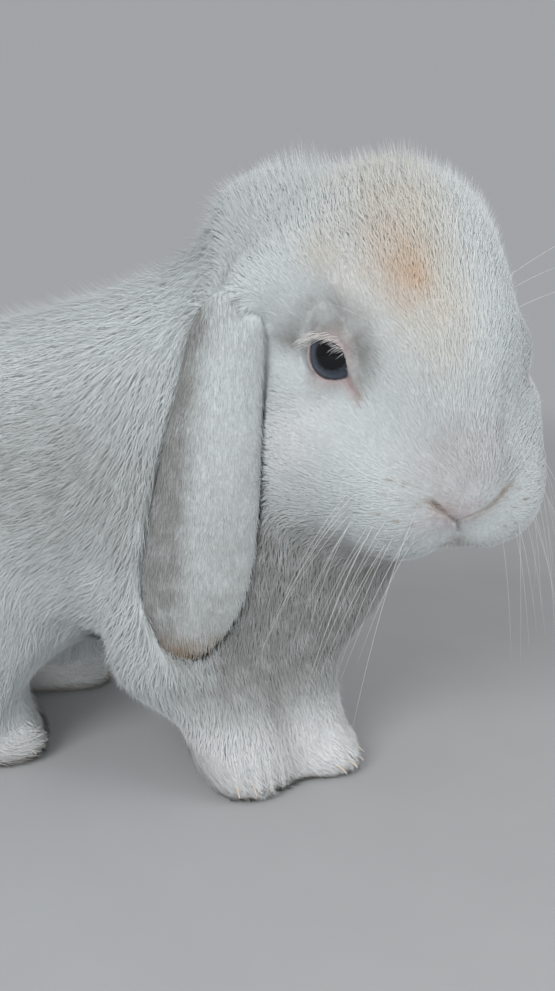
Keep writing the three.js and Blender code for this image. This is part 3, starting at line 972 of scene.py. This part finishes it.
def part_flow(points, normals, kinds):
    """Which way the coat lies at each point, before it is laid along the skin."""
    side_on = 1 - step(normals[:, 2], 0.3, 0.8)
    front = np.maximum(step(normals[:, 0], 0.1, 0.7), step(points[:, 0], -0.02, 0.04) * side_on)[:, None]
    flow = np.array([-0.90, 0.0, -0.42]) * (1 - front) + np.array([-0.16, 0.0, -1.0]) * front
    for kind, way in COAT_WAYS.items():
        flow[kinds == kind] = way
    for name, heading in PAW_HEADINGS.items():
        turn = math.radians(heading)
        paw = (kinds == "forepaw") & near_box(points, name, 0.001)
        flow[paw] = (math.cos(turn), math.sin(turn), -0.55)
    local = to_head(points)
    back = local - np.array([58.0, 0, -20.0])
    back[:, 0] -= 14 * step(local[:, 2], 0, 40)
    back = unit(back) @ HEAD_TURN.T
    head = kinds == "head"
    flow[head] = back[head]
    return unit(flow)


def coat_field(points, normals, kinds, masks, edges):
    """Everything a tuft needs to know at its root, for each vertex of the skin."""
    cut = np.array([COAT_CUT[kind] for kind in kinds])
    local = to_head(points)
    x, _, z = local.T
    head = kinds == "head"
    deep = depth_of(points, kinds)
    crown = step(z, 20, 44) * step(-x, -26, 8)
    jowl = np.clip(step(-z, 12, 40) * step(-x, -42, -8) + step(-x, 10, 40), 0, 1)
    cut[head] += (np.outer(crown, CROWN_GROWTH) + np.outer(jowl, JOWL_GROWTH))[head]
    cut[:, 4] += BACK_STAND * step(normals[:, 2], 0.7, 0.96) * np.isin(kinds, ("trunk", "neck"))
    on_head = head | (kinds == "neck")
    for centre, radii, stand in CROWN_TUFTS:
        cut[:, 4] = np.maximum(cut[:, 4], stand * bump_at(local, centre, radii) * on_head)
    fine = np.ones(len(points))
    for side in BOTH:
        fine = np.minimum(fine, 0.45 + 0.55 * step(from_eye(local, side), 11, 22))
    fine = np.minimum(fine, 0.42 + 0.58 * step(np.linalg.norm(local - NOSE, axis=1), 6, 20))
    cut[:, 0] *= fine
    cut[:, 1] *= 0.4 + 0.6 * fine
    cut[:, 2] *= 0.5 + 0.5 * fine
    cut[:, 4] *= fine ** 2
    values = relax(np.column_stack([cut, deep]), edges, 14)
    flow = relax(part_flow(points, normals, kinds), edges, 26)
    flow = unit(flow - (flow * normals).sum(1)[:, None] * normals)
    bare = (masks["rim"] < 1.13) | (masks["crease_shade"] > 0.55)
    return {
        "run": values[:, 0],
        "width": values[:, 1],
        "spacing": np.where(bare, BARE, values[:, 2]),
        "unruly": values[:, 3],
        "stand": values[:, 4],
        "deep": np.minimum(values[:, 5], deep + 1.0),
        "flow": flow,
    }


# ---------------------------------------------------------------- tufts
TUFT_TRIANGLES = 6
PIECE_TRIANGLES = 190000
TUFTS_A_PIECE = PIECE_TRIANGLES // TUFT_TRIANGLES
TUFTS_A_LOCK = 14
LOCK_LEAN = 0.24  # how far at most a tip leans towards its lock's, as a share of the way there
LOCK_REACH = 0.22  # and as a share of the tuft's own length
ROOT_SUNK = 0.0008  # how deep in the skin a tuft starts
TUFT_CLEARANCE = 0.0003  # how close to the floor a tuft may come
PATCH = 0.003  # size of a tuft's patch on the unwrap
# The waist of a tuft: its three corners across it and out of the skin, in halves of its width.
WAIST = ((-1, -0.1), (1, -0.1), (0, 0.32))


def root_places(mesh, spacing, rng):
    """Even random places over a mesh: the triangle each lies in and its weights there."""
    mesh.calc_loop_triangles()
    triangles = column(mesh.loop_triangles, "vertices", 3, int)
    loops = column(mesh.loop_triangles, "loops", 3, int)
    area = column(mesh.loop_triangles, "area", 1)
    wanted = area / (spacing[triangles].mean(1) * MM) ** 2 * looks().coat_fullness
    total = np.cumsum(wanted)
    count = int(total[-1])
    draw = (np.arange(count) + rng.random(count)) / count * total[-1]
    chosen = np.searchsorted(total, draw).clip(0, len(triangles) - 1)
    u, v = rng.random((2, count))
    flip = u + v > 1
    u[flip], v[flip] = 1 - u[flip], 1 - v[flip]
    return triangles[chosen], loops[chosen], np.column_stack([1 - u - v, u, v])


def blend_at(values, corners, weights):
    """Values at places inside triangles."""
    picked = values[corners]
    return np.einsum("ij,ij...->i...", weights, picked)


def waves(points, rng, length):
    """Slow uneven swells over space, about -1 to 1, whose crests are about `length` apart."""
    total = np.zeros(len(points))
    for _ in range(7):
        way = unit(rng.normal(0, 1, 3)) * 2 * math.pi / (length * rng.uniform(0.8, 2.2))
        total += np.sin(points @ way + rng.uniform(0, 2 * math.pi))
    return total / 2.6


def gather_locks(roots, rng):
    """The tuft that leads each tuft's lock, towards which its tip leans."""
    count = max(1, len(roots) // TUFTS_A_LOCK)
    leaders = rng.choice(len(roots), count, replace=False)
    tree = KDTree(count)
    for i, leader in enumerate(leaders):
        tree.insert(roots[leader], i)
    tree.balance()
    return np.array([leaders[tree.find(p)[1]] for p in roots])


def tuft_mesh(name, tufts):
    """One mesh of closed three-sided spindles, each a patch of the coat's unwrap at its root's place.

    A tuft starts at a point inside the skin, is widest where it bends over, and ends at a point. Its
    normals lean towards the skin's, as light sinks into a coat and comes out softened.
    """
    n = len(tufts["root"])
    side = unit(np.cross(tufts["flow"], tufts["normal"]))
    bend_at = tufts["bend_at"][:, None]

    def along(s):
        rise = (tufts["deep"][:, None] + ROOT_SUNK) * (1 - (1 - s) ** 2.3) - ROOT_SUNK
        run = tufts["run"][:, None] * s ** 1.2
        lean = side * tufts["bend"][:, None] + tufts["gather"]
        return tufts["root"] + tufts["flow"] * run + tufts["normal"] * rise + lean * s * s

    points = np.empty((n, 5, 3))
    points[:, 0] = along(0.0)
    points[:, 4] = along(1.0)
    waist = along(bend_at)
    half = (tufts["width"] / 2)[:, None]
    for k, (across, out) in enumerate(WAIST):
        points[:, 1 + k] = waist + side * half * across + tufts["normal"] * half * out
    points[..., 2] = np.maximum(points[..., 2], FLOOR + TUFT_CLEARANCE)
    own = np.stack([tufts["normal"], -side, side, tufts["normal"], tufts["normal"]], axis=1)
    normals = unit(0.12 * own + tufts["normal"][:, None] + 0.05 * tufts["stray"][:, None])

    faces = np.array([(0, 1, 2), (0, 2, 3), (0, 3, 1), (2, 1, 4), (3, 2, 4), (1, 3, 4)])
    corners = (faces[None] + (np.arange(n) * 5)[:, None, None]).reshape(-1, 3)
    mesh = bpy.data.meshes.new(name)
    mesh.vertices.add(n * 5)
    mesh.vertices.foreach_set("co", points.reshape(-1))
    mesh.loops.add(corners.size)
    mesh.loops.foreach_set("vertex_index", corners.reshape(-1).astype(np.int32))
    mesh.polygons.add(len(corners))
    mesh.polygons.foreach_set("loop_start", (np.arange(len(corners)) * 3).astype(np.int32))
    mesh.polygons.foreach_set("use_smooth", np.ones(len(corners), bool))
    mesh.update(calc_edges=True)
    mesh.normals_split_custom_set_from_vertices(normals.reshape(-1, 3))

    patch = np.array([(0, -0.5), (-0.5, 0), (0.5, 0), (0, 0.1), (0, 0.5)]) * PATCH
    layer = mesh.uv_layers.new(name="OFBake")
    uv = (tufts["uv"][:, None, :] + patch[None])[:, faces.ravel()]
    layer.data.foreach_set("uv", np.clip(uv, 0, 1).reshape(-1).astype(np.float32))
    height = np.column_stack([np.zeros(n), *[tufts["bend_at"]] * 3, np.ones(n)])
    attribute(mesh, "along", height.ravel())
    for mask in ("tone", *MASKS):
        attribute(mesh, mask, np.repeat(tufts[mask], 5))
    mesh.materials.append(coat_material())
    return add_object(name, mesh)


def attribute(mesh, name, values):
    layer = mesh.attributes.new(name, "FLOAT", "POINT")
    layer.data.foreach_set("value", np.asarray(values, np.float32))


# ---------------------------------------------------------------- operators
SWELL = 0.0004  # the solids grow by this first, which closes the thin cuts between them
BODY_CELL = 0.0022
ROOT_CELL = 0.0012
SOLE_HEIGHT = 0.0012  # how far above the floor the skin of the feet ends
EAR_ROOT_RADII = (0.0105, 0.0055)  # at the head, and where the flap starts
EAR_ROOT_REACH = 0.014  # how near an ear's root the skin isn't sunk
SINKS = ((0.0028, 8), (0.0018, 3))  # how far under an ear the skin is sunk, and how widely, in two goes
FINE_FACES = ((17, 22), (15, 14))  # reach round the eyes and round the nose of each halving, in millimetres


class SkinRabbit(bpy.types.Operator):
    """Makes one smooth skin inside the solids, with lids, nose and mouth"""

    bl_idname = "rabbit.skin"
    bl_label = "Skin"

    def execute(self, context):
        body = self.body(context)
        roots = [self.ear_root(name) for name in EARS]
        skin = self.joined(body, roots, [self.flap(name) for name in EARS])
        self.refine(skin)
        self.finish(skin)
        return {"FINISHED"}

    def body(self, context):
        """The flesh solids and the eyes as one rounded form, drawn in by the depth of the coat."""
        copies = [own_copy(name) for name in FLESH + EYES]
        select_only(*copies)
        bpy.ops.object.join()
        body = context.object
        body.name = body.data.name = "skin"
        apply_modifier(body, "DISPLACE", strength=SWELL, mid_level=0.0)
        apply_modifier(body, "REMESH", mode="VOXEL", voxel_size=BODY_CELL)
        kinds = SOLIDS.kinds(points_of(body.data))
        edges = edges_of(body.data)
        broad = np.isin(kinds, ("trunk", "thigh", "neck", "tail")).astype(float)[:, None]
        broad = relax(broad, edges, 8)
        smooth_form(body.data, 12)
        smooth_form(body.data, 60, broad)
        points = points_of(body.data)
        depth = relax(depth_of(points, kinds)[:, None], edges, 12)
        normals = normals_of(body.data)
        points -= normals * depth * MM
        for name in EARS:
            points = self.clear_ear(name, points, normals, edges)
        move_points(body.data, points)
        return body

    def clear_ear(self, name, points, normals, edges):
        """Sinks the skin under an ear, with a shallow slope round it, but not at the ear's root."""
        ear = Surface(name)
        root = from_head(EAR_ROOTS[name][1])
        away = unit(relax(normals, edges, 12))
        for clearance, spread in SINKS:
            height, _ = ear.heights(points)
            at_root = np.exp(-((np.linalg.norm(points - root, axis=1) / EAR_ROOT_REACH) ** 4))
            sink = (np.maximum(clearance - height, 0) * (1 - at_root))[:, None]
            sink = relax(np.maximum(relax(sink, edges, spread), 0.9 * sink), edges, 3)
            points = points - away * sink
        return points

    def ear_root(self, name):
        """The stalk that an ear's flap hangs from."""
        start, end = (Vector(from_head(place)) for place in EAR_ROOTS[name])
        stalk = end - start
        bpy.ops.mesh.primitive_cone_add(
            vertices=20, radius1=EAR_ROOT_RADII[0], radius2=EAR_ROOT_RADII[1], depth=stalk.length,
            location=(start + end) / 2, rotation=stalk.to_track_quat("Z", "Y").to_euler(),
        )
        root = bpy.context.object
        apply_modifier(root, "REMESH", mode="VOXEL", voxel_size=ROOT_CELL)
        return root

    def flap(self, name):
        """An ear's flap drawn in by the depth of its coat."""
        flap = own_copy(name)
        apply_modifier(flap, "SUBSURF", levels=2, render_levels=2)
        smooth_form(flap.data, 4)
        normals = normals_of(flap.data)
        points = points_of(flap.data) - normals * COAT_DEPTH["ear"] * MM
        move_points(flap.data, points)
        return flap

    def joined(self, body, roots, flaps):
        """Body, ears' stalks and ears' flaps as one skin."""
        select_only(body, *roots)
        bpy.ops.object.join()
        skin = bpy.context.object
        apply_modifier(skin, "REMESH", mode="VOXEL", voxel_size=looks().skin_cell)
        smooth_form(skin.data, 5)
        for flap in flaps:
            apply_modifier(skin, "BOOLEAN", operation="UNION", solver="EXACT", object=flap)
            bpy.data.objects.remove(flap)
        return skin

    def refine(self, skin):
        """Finer faces round the eyes, nose and mouth."""
        for reach, nose_reach in FINE_FACES:
            select_only(skin)
            local = to_head(column(skin.data.polygons, "center", 3))
            chosen = np.linalg.norm(local - np.array(NOSE) - (0, 0, 2), axis=1) < nose_reach
            for side in BOTH:
                chosen |= from_eye(local, side, out=3) < reach
            bpy.ops.object.mode_set(mode="EDIT")
            bpy.ops.mesh.select_mode(type="FACE")
            bpy.ops.mesh.select_all(action="DESELECT")
            bpy.ops.object.mode_set(mode="OBJECT")
            skin.data.polygons.foreach_set("select", chosen)
            bpy.ops.object.mode_set(mode="EDIT")
            bpy.ops.mesh.subdivide(number_cuts=1, smoothness=0)
            bpy.ops.object.mode_set(mode="OBJECT")
        smooth_form(skin.data, 2)

    def finish(self, skin):
        """The face's folds, the markings with their painted light and shade, the unwrap and the material.
        """
        mesh = skin.data
        points = points_of(mesh)
        normals = normals_of(mesh)
        points, masks = carve_face(points, normals)
        points[:, 2] = np.maximum(points[:, 2], FLOOR + SOLE_HEIGHT)
        move_points(mesh, points)
        kinds = SOLIDS.kinds(points)
        marks = markings_and_painted_light_at(points, normals, kinds, masks)
        for name, values in {**masks, **marks}.items():
            if name not in mesh.attributes:
                attribute(mesh, name, values)
        edit_all(skin, bpy.ops.uv.smart_project, angle_limit=math.radians(70), island_margin=0.002)
        mesh.uv_layers.active.name = "OFBake"
        finish_piece(skin, "skin", skin_material())
        KNOWN["kinds"] = kinds
        KNOWN["masks"] = {**masks, **marks}
        dress(skin, "fur", *FLESH, *EARS)


class CoatRabbit(bpy.types.Operator):
    """Covers the skin with tufts that follow the lie of the coat"""

    bl_idname = "rabbit.coat"
    bl_label = "Coat"

    groups = (
        ("face", ("head",)), ("ears", ("ear",)), ("feet", ("forepaw", "hind_foot", "foreleg")),
        ("neck", ("neck",)), ("trunk", ("trunk", "tail")), ("haunches", ("thigh",)),
    )

    def execute(self, context):
        rng = np.random.default_rng(1859)
        mesh = made_skin("coat").data
        points = points_of(mesh)
        normals = normals_of(mesh)
        edges = edges_of(mesh)
        field = coat_field(points, normals, KNOWN["kinds"], KNOWN["masks"], edges)
        corners, loops, weights = root_places(mesh, field["spacing"], rng)
        uv = column(mesh.uv_layers["OFBake"].data, "uv", 2)
        tufts = self.grow(points, normals, field, corners, weights, rng)
        tufts["uv"] = blend_at(uv, loops, weights)
        for mask in MASKS:
            tufts[mask] = blend_at(KNOWN["masks"][mask], corners, weights)
        tufts["stain_and_shade"] = np.maximum(tufts["stain_and_shade"], whisker_specks(tufts["root"]))
        kinds = KNOWN["kinds"][corners[:, 0]]
        clear = self.settle(tufts, kinds)
        for label, members in self.groups:
            chosen = np.flatnonzero(np.isin(kinds, members) & clear)
            chosen = chosen[np.argsort(tufts["root"][chosen, 0])]
            pieces = max(1, math.ceil(len(chosen) / TUFTS_A_PIECE))
            for i, part in enumerate(np.array_split(chosen, pieces)):
                picked = {key: values[part] for key, values in tufts.items()}
                dress(tuft_mesh(f"coat_{label}_{i + 1}", picked), "fur")
        return {"FINISHED"}

    def settle(self, tufts, kinds):
        """Bends tips back that stand out of the solids, and shortens tufts that would end in an ear."""
        tips = self.tips(tufts)
        height, out = SOLIDS.heights(tips)
        margin = 0.0002 + 0.0012 * tufts["tone"] ** 3 + tufts["lift"]
        tufts["gather"] -= out * np.clip(height - margin, 0, 0.6 * tufts["deep"])[:, None]
        clear = np.ones(len(kinds), bool)
        for name in EARS:
            ear = Surface(name)
            top = box_of(name)[1][2]
            for last in (False, False, False, True):
                tips = self.tips(tufts)
                chosen = np.flatnonzero((kinds != "ear") & clear & near_box(tips, name, 0.002))
                height, out = ear.heights(tips[chosen])
                over = (tufts["root"][chosen, 2] > top - 0.012) & (height < 0.0008)
                tufts["gather"][chosen[over]] += out[over] * (0.0012 - height[over])[:, None]
                chosen = chosen[(height < 0.0004) & ~over]
                for key in ("deep", "run", "gather"):
                    tufts[key][chosen] *= 0.65
                clear[chosen] = not last
        return clear

    @staticmethod
    def tips(tufts):
        rise = tufts["normal"] * tufts["deep"][:, None]
        return tufts["root"] + tufts["flow"] * tufts["run"][:, None] + tufts["gather"] + rise

    def grow(self, points, normals, field, corners, weights, rng):
        """Size, lean and tone of each tuft."""
        n = len(corners)
        look = looks()
        root = blend_at(points, corners, weights)
        normal = unit(blend_at(normals, corners, weights))
        flow = blend_at(field["flow"], corners, weights)
        flow = unit(flow - (flow * normal).sum(1)[:, None] * normal)
        unruly = blend_at(field["unruly"], corners, weights)
        wander = waves(root, rng, 0.022)
        turn = rng.normal(0, 1, n) * (0.10 + unruly) + 0.13 * wander
        side = np.cross(normal, flow)
        flow = flow * np.cos(turn)[:, None] + side * np.sin(turn)[:, None]
        stand = blend_at(field["stand"], corners, weights)
        share = 0.08 + 0.5 * step(stand, 1.8, 6.0)
        lift = stand * MM * rng.random(n) * (rng.random(n) < share)
        size = rng.uniform(0.80, 1.08, n) * (1 + 0.05 * waves(root, rng, 0.016))
        deep = blend_at(field["deep"], corners, weights) * MM * look.coat_length
        run = blend_at(field["run"], corners, weights) * MM * look.coat_length
        deep *= size * (1 + unruly * rng.normal(0, 0.5, n)).clip(0.6, 1.35)
        run *= size
        width = blend_at(field["width"], corners, weights) * MM * look.tuft_width
        width = width * rng.uniform(0.7, 1.25, n)
        leader = gather_locks(root, rng)
        tip = root + flow * run[:, None] + normal * deep[:, None]
        pull = (tip[leader] - tip) * rng.uniform(0.0, LOCK_LEAN, n)[:, None]
        reach = np.linalg.norm(pull, axis=1, keepdims=True)
        pull *= np.minimum(1, LOCK_REACH * run[:, None] / np.maximum(reach, 1e-9))
        pull += (0.75 * normal + np.array([0, 0, 0.35])) * lift[:, None]
        width *= 1 - 0.35 * (lift > 0)
        run *= 1 - 0.4 * step(lift, 0.001, 0.004)
        return {
            "root": root, "normal": normal, "flow": flow, "deep": deep, "run": run, "width": width,
            "bend": rng.normal(0, 0.08, n) * run, "bend_at": rng.uniform(0.34, 0.50, n), "gather": pull,
            "tone": rng.random(n), "stray": rng.normal(0, 1, (n, 3)), "lift": lift,
        }


def hair_curves(name, hairs, thickness, material):
    """Hairs or claws as tapered tubes. Each is a list of points."""
    curve = bpy.data.curves.new(name, "CURVE")
    curve.dimensions = "3D"
    curve.bevel_depth = thickness
    curve.bevel_resolution = 1
    curve.use_fill_caps = True
    for points in hairs:
        spline = curve.splines.new("POLY")
        spline.points.add(len(points) - 1)
        for i, (point, place) in enumerate(zip(spline.points, points)):
            point.co = (*place, 1)
            point.radius = 1 - 0.85 * (i / (len(points) - 1)) ** 1.3
    select_only(add_object(name, curve))
    bpy.ops.object.convert(target="MESH")
    obj = bpy.context.object
    finish_piece(obj, name, material)
    return obj


def arc(root, way, length, droop, count=11):
    """Points along a hair that leaves its root one way and then droops."""
    s = np.linspace(0, 1, count)[:, None]
    way = unit(np.array(way, float))
    return root + way * length * s + np.array([0, 0, -droop]) * length * s ** 2


CORNEA = 0.035  # how far the cornea bulges, as a share of the eye's radius


class EyesOfRabbit(bpy.types.Operator):
    """Makes the wet eyes behind the lids"""

    bl_idname = "rabbit.eyes"
    bl_label = "Eyes"

    def execute(self, context):
        for name in EYES:
            side = SIDES[name.split("_")[1]]
            centre, axis, _, _ = eye_frame(side, GAZE)
            place = Vector(from_head(centre))
            way = Vector(HEAD_TURN @ axis)
            radius = EYE_RADIUS * MM
            bpy.ops.mesh.primitive_uv_sphere_add(
                segments=64, ring_count=40, radius=radius, location=(0, 0, 0)
            )
            eye = context.object
            points = points_of(eye.data)
            cornea = step(points[:, 2] / radius, 0.62, 0.95)
            points *= (1 + CORNEA * cornea)[:, None]
            eye.data.vertices.foreach_set("co", points.ravel())
            turn = way.to_track_quat("Z", "Y").to_matrix().to_4x4()
            eye.data.transform(Matrix.Translation(place) @ turn)
            finish_piece(eye, f"wet_{name}", eye_material(f"wet_{name}", place, way))
            dress(eye, "eye", name)
        return {"FINISHED"}


HAIR_RADIUS = 0.00009
WHISKER_LENGTH = 0.052
BROW_HAIRS = 3
BROW_HAIR_LENGTH = 0.024
LASHES = 90
# No whisker goes further out of the solids' box than this.
REACH = 0.03 * (np.array(SOLIDS_BOX[1]) - np.array(SOLIDS_BOX[0])) + 0.0095
WITHIN = (np.array(SOLIDS_BOX[0]) - REACH * (1, 1, 0), np.array(SOLIDS_BOX[1]) + REACH)


class HairsOfRabbit(bpy.types.Operator):
    """Makes the whiskers of the muzzle and brows, and the lashes"""

    bl_idname = "rabbit.whiskers"
    bl_label = "Whiskers and lashes"

    def execute(self, context):
        rng = np.random.default_rng(77)
        self.skin = BVHTree.FromObject(made_skin("whiskers"), context.evaluated_depsgraph_get())
        whiskers = []
        for side in BOTH:
            for row, place in WHISKER_ROOTS[:looks().whiskers]:
                at = whisker_root(row, place) * (1, side, 1)
                spread = 0.36 if side < 0 else 0.60
                way = (0.14 - 0.06 * place, side * (spread + 0.05 * place), -0.72 - 0.14 * row)
                whiskers.append(self.hair(at, way, rng, WHISKER_LENGTH - 0.002 * row, 0.55))
            for i in range(BROW_HAIRS):
                at = (-2 + 7 * i, side * 29, 23)
                whiskers.append(self.hair(at, (0.45, side * 0.6, 0.8), rng, BROW_HAIR_LENGTH, 0.10))
        white = hair_material("whisker_hair", (0.88, 0.87, 0.84))
        dress(hair_curves("whiskers", whiskers, HAIR_RADIUS, white), "fur")
        lashes = self.lashes(rng)
        cream = hair_material("lash_hair", (0.85, 0.84, 0.82))
        dress(hair_curves("lashes", lashes, HAIR_RADIUS, cream), "fur")
        return {"FINISHED"}

    def on_skin(self, local):
        hit = self.skin.find_nearest(Vector(from_head(local)))
        return np.array(hit[0])

    def hair(self, at, way, rng, length, droop):
        """A whisker from its root on the skin, shortened until it stays within reach."""
        at = np.array(at) + rng.normal(0, 0.5, 3)
        way = HEAD_TURN @ (unit(np.array(way)) + rng.normal(0, 0.10, 3))
        length, droop = length * rng.uniform(0.75, 1.1), droop * rng.uniform(0.7, 1.3)
        points = arc(self.on_skin(at), way, length, droop)
        while length > 0.004 and (np.any(points < WITHIN[0]) or np.any(points > WITHIN[1])):
            length *= 0.96
            points = arc(self.on_skin(at), way, length, droop)
        return points

    def lashes(self, rng):
        hairs = []
        for side in BOTH:
            centre, axis, along, across = eye_frame(side)
            for turn in np.linspace(math.radians(70), math.radians(200), LASHES):
                out = rng.uniform(1.08, 1.34)
                u = out * OPENING[0] * math.cos(turn)
                v = out * OPENING[1] * math.sin(turn) * almond(math.cos(turn))
                root = centre + axis * (math.sqrt(max((EYE_RADIUS + 1.6) ** 2 - u * u - v * v, 9)) - 0.4)
                root = root + along * u + across * v
                way = 0.60 * axis - 0.50 * across - 0.75 * along + rng.normal(0, 0.14, 3)
                length = rng.uniform(0.003, 0.005) if rng.random() < 0.96 else 0.010
                hairs.append(arc(from_head(root), HEAD_TURN @ way, length, 0.3, count=6))
        return hairs


CLAW_RADIUS = 0.00125


class ClawsOfRabbit(bpy.types.Operator):
    """Makes the curved claws that show between the toes"""

    bl_idname = "rabbit.claws"
    bl_label = "Claws"

    def execute(self, context):
        lines = []
        for name in CLAWS:
            base, tip = claw_line(name)
            s = np.linspace(0, 0.85, 9)[:, None]
            lines.append(base + (tip - base) * s + np.array([0, 0, 0.0016]) * np.sin(math.pi * s))
        claws = hair_curves("claws", lines, CLAW_RADIUS, claw_material())
        dress(claws, "claw", *CLAWS)
        return {"FINISHED"}


BACKDROP = (0.36, 0.37, 0.39)
FLOOR_SIZE = 8.0
SKYLIGHT = ((0.97, 0.99, 1.0), 0.39)
# Each lamp's place from the middle of the model, its size and its power.
LAMPS = {
    "key": ((-0.45, -0.88, 0.70), 0.6, 6.1),
    "fill": ((0.32, -0.78, -0.03), 0.5, 2.1),
    "side": ((0.90, -0.30, 0.60), 0.6, 2.4),
}
CAMERA_PLACE = (0.0636, -0.2920, 0.158)  # from the floor under the middle of the model
CAMERA_PITCH = 12
CAMERA_LENS = 28.335


class StageRabbit(bpy.types.Operator):
    """Sets out the floor, lamps, world and camera"""

    bl_idname = "rabbit.stage"
    bl_label = "Stage"

    def execute(self, context):
        scene = context.scene
        bpy.ops.object.select_all(action="DESELECT")
        self.floor(context)
        self.world(scene)
        for name, (offset, size, energy) in LAMPS.items():
            self.lamp(name, offset, size, energy)
        camera = add_object("camera", bpy.data.cameras.new("camera"))
        camera.data.sensor_width = 36.0
        camera.data.lens = CAMERA_LENS
        camera.data.clip_start = 0.01
        camera.location = Vector(MIDDLE * (1, 1, 0)) + Vector((0, 0, FLOOR)) + Vector(CAMERA_PLACE)
        camera.rotation_euler = (math.radians(90 - CAMERA_PITCH), 0, 0)
        scene.camera = camera
        scene.view_settings.view_transform = "Standard"
        return {"FINISHED"}

    def floor(self, context):
        """A plain floor that fades into the backdrop."""
        place = (MIDDLE[0], MIDDLE[1], FLOOR)
        bpy.ops.mesh.primitive_plane_add(size=FLOOR_SIZE, location=place)
        floor = context.object
        floor.name = "floor"
        material, tree, shader = new_material("floor", 0.9, Specular_IOR_Level=0.1)
        place = object_place(tree)
        grain = noise_at(tree, place, 30.0, 3.0)
        tint = mix_colour(tree, grain, (0.50, 0.51, 0.52, 1), (0.54, 0.55, 0.56, 1))
        tree.links.new(tint, shader.inputs["Base Color"])
        away = add_node(tree, "ShaderNodeVectorMath", {0: place, 1: (0, 0, 0)}, operation="DISTANCE")
        span = {"Value": away.outputs["Value"], "From Min": 0.35, "From Max": 1.6}
        fade = add_node(tree, "ShaderNodeMapRange", span, interpolation_type="SMOOTHSTEP").outputs["Result"]
        glow = add_node(tree, "ShaderNodeEmission", {"Color": rgba(BACKDROP)}).outputs[0]
        mixed = add_node(tree, "ShaderNodeMixShader", {0: fade, 1: shader.outputs[0], 2: glow})
        tree.links.new(mixed.outputs[0], tree.nodes["Material Output"].inputs["Surface"])
        floor.data.materials.append(material)

    def world(self, scene):
        """Even light from all round, and the plain backdrop that the camera sees instead of it."""
        world = bpy.data.worlds.new("studio")
        world.use_nodes = True
        scene.world = world
        tree = world.node_tree
        light = tree.nodes["Background"]
        light.inputs["Color"].default_value = rgba(SKYLIGHT[0])
        light.inputs["Strength"].default_value = SKYLIGHT[1]
        seen = add_node(tree, "ShaderNodeBackground", {"Color": rgba(BACKDROP), "Strength": 1.0}).outputs[0]
        from_camera = add_node(tree, "ShaderNodeLightPath").outputs["Is Camera Ray"]
        mixed = add_node(tree, "ShaderNodeMixShader", {0: from_camera, 1: light.outputs[0], 2: seen})
        tree.links.new(mixed.outputs[0], tree.nodes["World Output"].inputs["Surface"])

    def lamp(self, name, offset, size, energy):
        light = bpy.data.lights.new(name, "AREA")
        light.shape = "DISK"
        light.size = size
        light.energy = energy
        lamp = add_object(name, light)
        lamp.location = Vector(MIDDLE) + Vector(offset)
        lamp.rotation_euler = (-Vector(offset)).to_track_quat("-Z", "Y").to_euler()


class RabbitPanel(bpy.types.Panel):
    """Lists the rabbit's pieces in the order they are made"""

    bl_idname = "RABBIT_PT_pieces"
    bl_label = "Lop Rabbit"
    bl_space_type = "VIEW_3D"
    bl_region_type = "UI"
    bl_category = "Rabbit"

    def draw(self, context):
        for name in RabbitLooks.__annotations__:
            self.layout.prop(context.scene.lop_rabbit, name)
        for operator in OPERATORS:
            self.layout.operator(operator.bl_idname)


OPERATORS = (StageRabbit, SkinRabbit, EyesOfRabbit, ClawsOfRabbit, CoatRabbit, HairsOfRabbit)
KNOWN = {}  # what the skin leaves for the coat: the part and the masks at each vertex
SOLIDS = Surface(*FLESH, *EARS)


def register():
    for cls in (RabbitLooks, *OPERATORS, RabbitPanel):
        bpy.utils.register_class(cls)
    bpy.types.Scene.lop_rabbit = PointerProperty(type=RabbitLooks)


def unregister():
    del bpy.types.Scene.lop_rabbit
    for cls in (RabbitPanel, *reversed(OPERATORS), RabbitLooks):
        bpy.utils.unregister_class(cls)


def main():
    register()
    bpy.ops.rabbit.stage()
    bpy.ops.rabbit.skin()
    bpy.ops.rabbit.eyes()
    bpy.ops.rabbit.claws()
    bpy.ops.rabbit.coat()
    bpy.ops.rabbit.whiskers()


if __name__ == "__main__":
    main()
